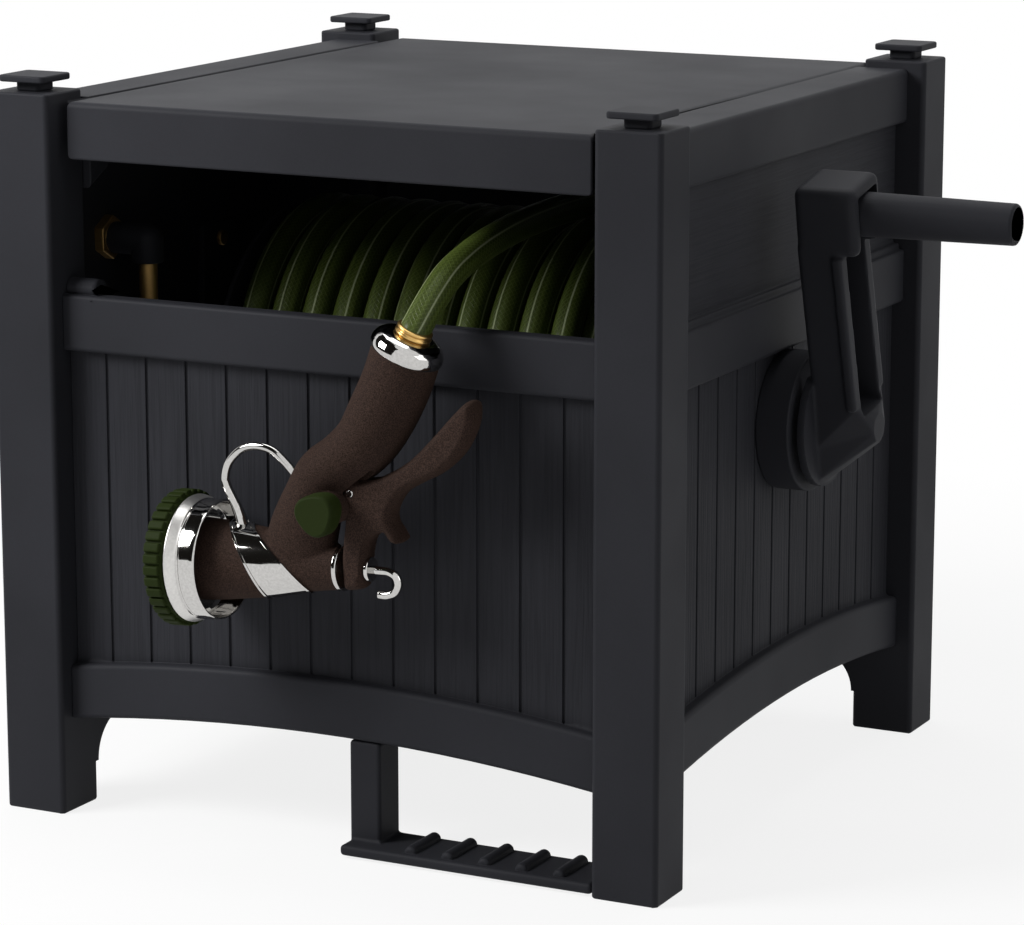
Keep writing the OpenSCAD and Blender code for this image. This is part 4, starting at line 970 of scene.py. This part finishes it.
handle_skin = lofted("handle_skin", station_rings(HANDLE_STATIONS))
barrel_line = smooth_path(BARREL_STATIONS, LOFT_FINENESS)
barrel_rings = [circle_points(x, radius, 0, 360, BODY_SIDES)[:-1] for x, radius in barrel_line]
barrel_skin = lofted("barrel_skin", barrel_rings)
knob_boss = bar(KNOB_BOSS_R, KNOB_AT, KNOB_AT + Vector((0, -KNOB_BOSS_L, 0)))
soft_body = joined("soft_body", [handle_skin, barrel_skin, knob_boss])
melted(soft_body, BODY_VOXEL, BODY_SMOOTHING)
for side in (-1, 1):
    inner, outer = side * TONGUE_HALF, side * (TRIGGER_HALF + SLOT_GAP)
    pocket_ends = [TRIGGER_PIN + Vector((0, across, 0)) for across in (inner, outer)]
    cut_away(soft_body, bar(POCKET_R, *pocket_ends, POCKET_SIDES))
    cut_away(soft_body, block((TRIGGER_PIN.x - POCKET_BACK, min(inner, outer), POCKET_FOOT),
                              (TRIGGER_PIN.x + POCKET_W, max(inner, outer), TRIGGER_PIN.z)))
cut_away(soft_body, bar(STEM_R, (STEM_IN, 0, 0), (BARREL_TAIL, 0, 0)))
smooth_shaded(soft_body)
placed(soft_body, nozzle_place)


def speckled_rubber():
    """Brown grip rubber with a sandy speckle."""
    material = moulded("speckled_rubber", RUBBER, RUBBER_ROUGH, RUBBER_SHEEN, RUBBER_PATCH,
                       RUBBER_STIPPLE, RUBBER_HEIGHT)
    tree = material.node_tree
    shader = tree.nodes["Principled BSDF"]
    skin = next(n for n in tree.nodes if n.type == "GROUP")
    sand = noise(tree, add_node(tree, "ShaderNodeTexCoord").outputs["Object"], SAND_SCALE, detail=1)
    speck = ranged(tree, sand, *SAND_TONE, *SAND_SPAN)
    tree.links.new(shaded(tree, skin.outputs["Colour"], speck), shader.inputs["Base Color"])
    return material


rubber = speckled_rubber()
fitted(soft_body, "nozzle_body", "grip_rubber", rubber)

# Trigger: a lever of the same rubber over a core, with a curled finger rest and rounded
# edges. It turns on a chrome pin and pulls the valve stem out with its foot.
TRIGGER_OUTLINE = [(47, 52), (47.5, 61), (54, 66), (65, 65.6), (79.7, 69), (99.6, 80), (119, 97.4),
                   (135.7, 114), (147, 123.4), (153, 120.6), (151.9, 106.2), (141.7, 87.3), (125.7, 73),
                   (107.5, 64), (95, 57), (87.6, 47.6), (84.4, 39.2), (87.2, 30), (90.6, 21.6), (85, 21.6),
                   (78.4, 27.5), (71, 26), (65, 19.6), (61.6, 7.1), (59.6, -11), (53, -14.6), (45, -14.2),
                   (43.2, -4), (43.8, 12.2), (47.6, 37.3)]
TRIGGER_FINENESS = 5
TRIGGER_ROUND = 5.5
TRIGGER_LAYERS = 12
INSET_ROOM = 0.35
TRIGGER_VOXEL, TRIGGER_SMOOTHING = 0.9, 3
STEM_HOLE_R = 7
SLOT_DROP, SLOT_RISE = 14, 38


def room_inside(outline, start, way):
    """How far a ray from a point on a closed outline runs inside it."""
    nearest = TRIGGER_ROUND / INSET_ROOM
    for a, b in zip(outline, outline[1:] + outline[:1]):
        run = b - a
        spread = way.x * run.y - way.y * run.x
        if abs(spread) > MERGE:
            to_a = a - start
            reach = (to_a.x * run.y - to_a.y * run.x) / spread
            share = (to_a.x * way.y - to_a.y * way.x) / spread
            if reach > TRIGGER_ROUND / TRIGGER_LAYERS and 0 <= share <= 1:
                nearest = min(nearest, reach)
    return nearest


def lever_rings(outline):
    """An outline in the nozzle's plane drawn in towards both sides, as a rounded lever."""
    points = [Vector(point) for point in outline]
    area = sum(a.x * b.y - b.x * a.y for a, b in zip(points, points[1:] + points[:1]))
    inward = []
    for i, point in enumerate(points):
        ahead = (points[(i + 1) % len(points)] - points[i - 1]).normalized()
        way = Vector((-ahead.y, ahead.x)) * math.copysign(1, area)
        inward.append(way * min(TRIGGER_ROUND, INSET_ROOM * room_inside(points, point, way)))
    rings = []
    for layer in range(TRIGGER_LAYERS + 1):
        lean = math.radians(180 * layer / TRIGGER_LAYERS - 90)
        drawn = [point + way * (1 - math.cos(lean)) for point, way in zip(points, inward)]
        rings.append([(point.x, TRIGGER_HALF * math.sin(lean), point.y) for point in drawn])
    return rings


lever_line = smooth_path(TRIGGER_OUTLINE, TRIGGER_FINENESS, closed=True)
squeeze_lever = lofted("squeeze_lever", lever_rings(lever_line))
melted(squeeze_lever, TRIGGER_VOXEL, TRIGGER_SMOOTHING)
slot_half = TONGUE_HALF + SLOT_GAP
cut_away(squeeze_lever, block((0, -slot_half, TRIGGER_PIN.z - SLOT_DROP),
                              (TRIGGER_PIN.x + POCKET_R, slot_half, TRIGGER_PIN.z + SLOT_RISE)))
cut_away(squeeze_lever, bar(STEM_HOLE_R, (STEM_IN, 0, 0), (POCKET_W * 2, 0, 0)))
smooth_shaded(squeeze_lever)
placed(squeeze_lever, nozzle_place)
fitted(squeeze_lever, "trigger", "grip_rubber", rubber)

# Bright parts of the nozzle: polished chrome over brass, turned or bent from wire. The pin
# holds the trigger, the ring closes the barrel's tail, and the stem ends in a wire hook
# behind a small flange that the trigger pulls on.
CHROME = (0.54, 0.53, 0.515, 1)
CHROME_ROUGH, CHROME_PATCH, CHROME_HEIGHT = 0.06, 0.03, 0.000002
PIN_R, PIN_OUT, PIN_ROUND, PIN_SIDES = 2.8, 0.6, 1, 32
RING_PROFILE = [(39.4, 14), (39.4, 16.9), (42.6, 16.5), (42.6, 14), (39.4, 14)]
RING_ROUND = 0.8
STEM_PROFILE = [(34, 0), (34, 5), (60.2, 5), (60.2, 8.8), (63.6, 8.8), (63.6, 0)]
STEM_ROUND, STEM_SIDES = 1, 48
WIRE_R = 3.1
HOOK_POINTS = [(62, -0.4, WIRE_R), (70, -0.4, WIRE_R), (76.5, -0.8, WIRE_R), (82, -4, WIRE_R),
               (83.6, -9.6, WIRE_R), (80.6, -15.4, WIRE_R), (74.4, -17.8, WIRE_R), (68, -17.6, WIRE_R)]


def wire(name, points, fineness=6, sides=20):
    """A round wire bent in the nozzle's plane, from points of (along x, up z, radius) in mm."""
    line = smooth_path(points, fineness)
    path = [Vector((x, 0, z)) * MM for x, z, _ in line]
    return tube(name, path, [radius * MM for _, _, radius in line], sides)


chrome = metal("chrome", CHROME, CHROME_ROUGH, CHROME_PATCH, CHROME_HEIGHT)
pin_end = TRIGGER_HALF + PIN_OUT
pin_profile = rounded([(-pin_end, 0), (-pin_end, PIN_R), (pin_end, PIN_R), (pin_end, 0)], PIN_ROUND)
pin_turn = Matrix.Rotation(math.radians(90), 4, "Z")
lever_pin = turned("lever_pin", pin_profile, PIN_SIDES)
placed(lever_pin, nozzle_place @ Matrix.Translation(TRIGGER_PIN * MM) @ pin_turn)
fitted(lever_pin, "trigger_pin", "chrome", chrome)

tail_ring = placed(turned("tail_ring", rounded(RING_PROFILE, RING_ROUND)), nozzle_place)
fitted(tail_ring, "barrel_ring", "chrome", chrome)

stem = turned("stem", rounded(STEM_PROFILE, STEM_ROUND), STEM_SIDES)
hooked_stem = placed(joined("hooked_stem", [stem, wire("hook", HOOK_POINTS)]), nozzle_place)
fitted(hooked_stem, "valve_stem", "chrome", chrome)

# Band and loop: a slanted chrome sleeve pressed on round the barrel, with a raised lip along
# each edge, and the wire loop that hangs the nozzle up, brazed to it in a thick foot.
BAND_IN, BAND_OUT, LIP_OUT = 0.2, 0.8, 1.5
BAND_EDGE, BAND_ROUNDS, BAND_SIDES, BAND_FINENESS = 0.25, 2, 128, 12
LEFT_CUT, LEFT_WAY = -34.7, Vector((1, 0.43, 0.536))
RIGHT_CUT, RIGHT_WAY = -4.1, Vector((1, 0.544, 1.08))
LIP_W = 1.5
LOOP_POINTS = [(-40.5, 26, 4.8), (-41.5, 31, 4.5), (-43.4, 37, 4.0), (-47, 44.5, 3.5), (-51, 53, 3.2),
               (-52.2, 61, WIRE_R), (-48.4, 71.4, WIRE_R), (-38.6, 80.6, WIRE_R), (-26, 84, WIRE_R),
               (-12.6, 81.4, WIRE_R), (-2.5, 73.4, WIRE_R), (7, 63, WIRE_R)]

barrel_fine = smooth_path(BARREL_STATIONS, BAND_FINENESS)


def sleeve(name, outside, cuts):
    """A slice of a sleeve round the barrel, between slanted cuts of (place along x, way out)."""
    outer = [(x, radius + outside) for x, radius in barrel_fine]
    inner = [(x, radius - BAND_IN) for x, radius in reversed(barrel_fine)]
    piece = turned(name, outer + inner + outer[:1], BAND_SIDES)
    choose(piece)
    bpy.ops.object.mode_set(mode="EDIT")
    for at, way in cuts:
        bpy.ops.mesh.select_all(action="SELECT")
        bpy.ops.mesh.bisect(plane_co=(at * MM, 0, 0), plane_no=way, use_fill=True, clear_outer=True)
    bpy.ops.object.mode_set(mode="OBJECT")
    apply_modifier(piece, "BEVEL", width=BAND_EDGE * MM, segments=BAND_ROUNDS, limit_method="ANGLE",
                   angle_limit=SMOOTH)
    smooth_shaded(piece)
    return piece


left_lip, right_lip = LIP_W * LEFT_WAY.length, LIP_W * RIGHT_WAY.length
slanted_band = joined("slanted_band", [
    sleeve("sleeve", BAND_OUT, [(LEFT_CUT, -LEFT_WAY), (RIGHT_CUT, RIGHT_WAY)]),
    sleeve("left_lip", LIP_OUT, [(LEFT_CUT, -LEFT_WAY), (LEFT_CUT + left_lip, LEFT_WAY)]),
    sleeve("right_lip", LIP_OUT, [(RIGHT_CUT - right_lip, -RIGHT_WAY), (RIGHT_CUT, RIGHT_WAY)])])
fitted(placed(slanted_band, nozzle_place), "nozzle_band", "chrome", chrome)
fitted(placed(wire("wire_loop", LOOP_POINTS), nozzle_place), "hang_loop", "chrome", chrome)

# Collar and coupling: a low chrome dome on the handle's end with a rolled foot. A ridged brass
# coupling screws into it, and the hose bends out of that.
COLLAR_PROFILE = [(-1, 12), (-1, 25.4), (0.4, 26.4), (2.6, 26.7), (5.2, 26.2), (8.4, 24.6), (11, 21.8),
                  (12.6, 18), (13.2, 14.6), (12.4, 12), (-1, 12)]
COLLAR_ROUND = 1.2
RIDGE_PROFILE = [(6, 0), (6, 11.6), (13.4, 12.2), (14.2, 13.3), (15.4, 13.3), (16.2, 12.3), (17, 12.3),
                 (17.8, 13.1), (19, 13.1), (19.8, 12), (20, 0)]
RIDGE_ROUND = 0.5
BRASS = (0.62, 0.40, 0.14, 1)
BRASS_ROUGH, BRASS_PATCH = 0.28, 0.15

brass = metal("brass", BRASS, BRASS_ROUGH, BRASS_PATCH)
handle_turn = handle_way.to_track_quat("X", "Y").to_matrix().to_4x4()
collar_place = nozzle_place @ Matrix.Translation(HANDLE_END) @ handle_turn
bright_collar = placed(turned("bright_collar", rounded(COLLAR_PROFILE, COLLAR_ROUND)), collar_place)
fitted(bright_collar, "nozzle_collar", "chrome", chrome)
brass_ridges = placed(turned("brass_ridges", rounded(RIDGE_PROFILE, RIDGE_ROUND)), collar_place)
fitted(brass_ridges, "hose_coupling", "brass", brass)

# Head: the chrome cup that the barrel ends in, with a bright band next to the dial, a groove
# behind it and a rolled rim round the open back.
CUP_PROFILE = [(-81, 12.5), (-81, 45), (-80, 46.2), (-72.4, 43.8), (-71.4, 42.4), (-70, 42.4), (-69.4, 43.6),
               (-60.5, 43.2), (-57.6, 42.8), (-56.8, 42), (-57.4, 41.2), (-62, 40.6), (-73, 39.6),
               (-75.5, 37), (-75.5, 28.6), (-57.5, 27.6), (-57.5, 12.5), (-81, 12.5)]
CUP_ROUND, CUP_SIDES = 0.9, 128
SATIN_TO, SATIN_R, SATIN_ROUGH = -72.2, 40, 0.36
SATIN = (0.66, 0.65, 0.63, 1)

satin = metal("satin_chrome", SATIN, SATIN_ROUGH, CHROME_PATCH, CHROME_HEIGHT)
bright_head = turned("bright_head", rounded(CUP_PROFILE, CUP_ROUND), CUP_SIDES)
fitted(bright_head, "nozzle_bezel", "chrome", chrome, satin)
for polygon in bright_head.data.polygons:
    outer = math.hypot(polygon.center.y, polygon.center.z) > SATIN_R * MM
    polygon.material_index = 1 if outer and polygon.center.x < SATIN_TO * MM else 0
placed(bright_head, nozzle_place)

# Green controls: the ribbed dial on the front of the head that picks the spray, and the
# three-sided knob that sets the flow. Both are moulded in dark green resin and turned by hand.
GREEN = (0.0140, 0.0215, 0.0042, 1)
GREEN_ROUGH, GREEN_SHEEN, GREEN_PATCH = 0.6, 0.06, 0.1
GREEN_STIPPLE, GREEN_HEIGHT = 1200, 0.00008
DIAL_PROFILE = [(-62, 0), (-62, 11.8), (-81.3, 11.8), (-81.3, 45), (-82.8, 46.6), (-95, 46.6), (-97, 44.4),
                (-97, 39.5), (-94.5, 37.5), (-94.5, 9), (-96, 7), (-96, 0)]
DIAL_ROUND, DIAL_SIDES = 1.2, 128
RIB_COUNT = 36
RIB_LOW, RIB_HIGH, RIB_EDGE = (-95.6, -3.4, 44.4), (-82.8, 3.4, 49.2), 1.5
SPRAY_HOLES, SPRAY_R, SPRAY_RING, SPRAY_SIDES = 8, 3.4, 25, 24
SPRAY_FROM, SPRAY_TO = -103, -92
KNOB_R, KNOB_L, KNOB_SIDES = 16.2, 16, 72
KNOB_LOBES, KNOB_LOBE, KNOB_CORNER = 3, 0.14, 40
KNOB_LAYERS = [(0, 0.97), (0.1, 1), (0.6, 1), (0.82, 0.985), (0.93, 0.95), (0.985, 0.9), (1, 0.84)]

green_resin = moulded("green_resin", GREEN, GREEN_ROUGH, GREEN_SHEEN, GREEN_PATCH,
                      GREEN_STIPPLE, GREEN_HEIGHT)
dial_body = turned("dial_body", rounded(DIAL_PROFILE, DIAL_ROUND), DIAL_SIDES)
spray_cut = []
for k in range(SPRAY_HOLES):
    turn = math.radians(360 * k / SPRAY_HOLES)
    y, z = SPRAY_RING * math.cos(turn), SPRAY_RING * math.sin(turn)
    spray_cut.append(bar(SPRAY_R, (SPRAY_FROM, y, z), (SPRAY_TO, y, z), SPRAY_SIDES))
cut_away(dial_body, joined("spray_holes", spray_cut))
smooth_shaded(dial_body)
dial_ribs = []
for k in range(RIB_COUNT):
    rib = block(RIB_LOW, RIB_HIGH, RIB_EDGE)
    smooth_shaded(rib)
    dial_ribs.append(placed(rib, Matrix.Rotation(2 * math.pi * k / RIB_COUNT, 4, "X")))
ribbed_dial = placed(joined("ribbed_dial", [dial_body] + dial_ribs), nozzle_place)
fitted(ribbed_dial, "pattern_dial", "dial_green", green_resin)

knob_back = (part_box("flow_knob")[0].y - NOZZLE_AT[1]) / MM + KNOB_L
knob_rings = []
for deep, size in KNOB_LAYERS:
    ring = []
    for k in range(KNOB_SIDES):
        turn = 2 * math.pi * k / KNOB_SIDES
        lobe = math.cos(KNOB_LOBES * (turn - math.radians(KNOB_CORNER)))
        radius = KNOB_R * size * (1 - KNOB_LOBE / 2 + KNOB_LOBE * lobe / 2)
        across = knob_back - KNOB_L * deep
        ring.append(KNOB_AT + Vector((radius * math.cos(turn), across, radius * math.sin(turn))))
    knob_rings.append(ring)
flow_grip = lofted("flow_grip", knob_rings)
smooth_shaded(flow_grip)
fitted(placed(flow_grip, nozzle_place), "flow_knob", "dial_green", green_resin)
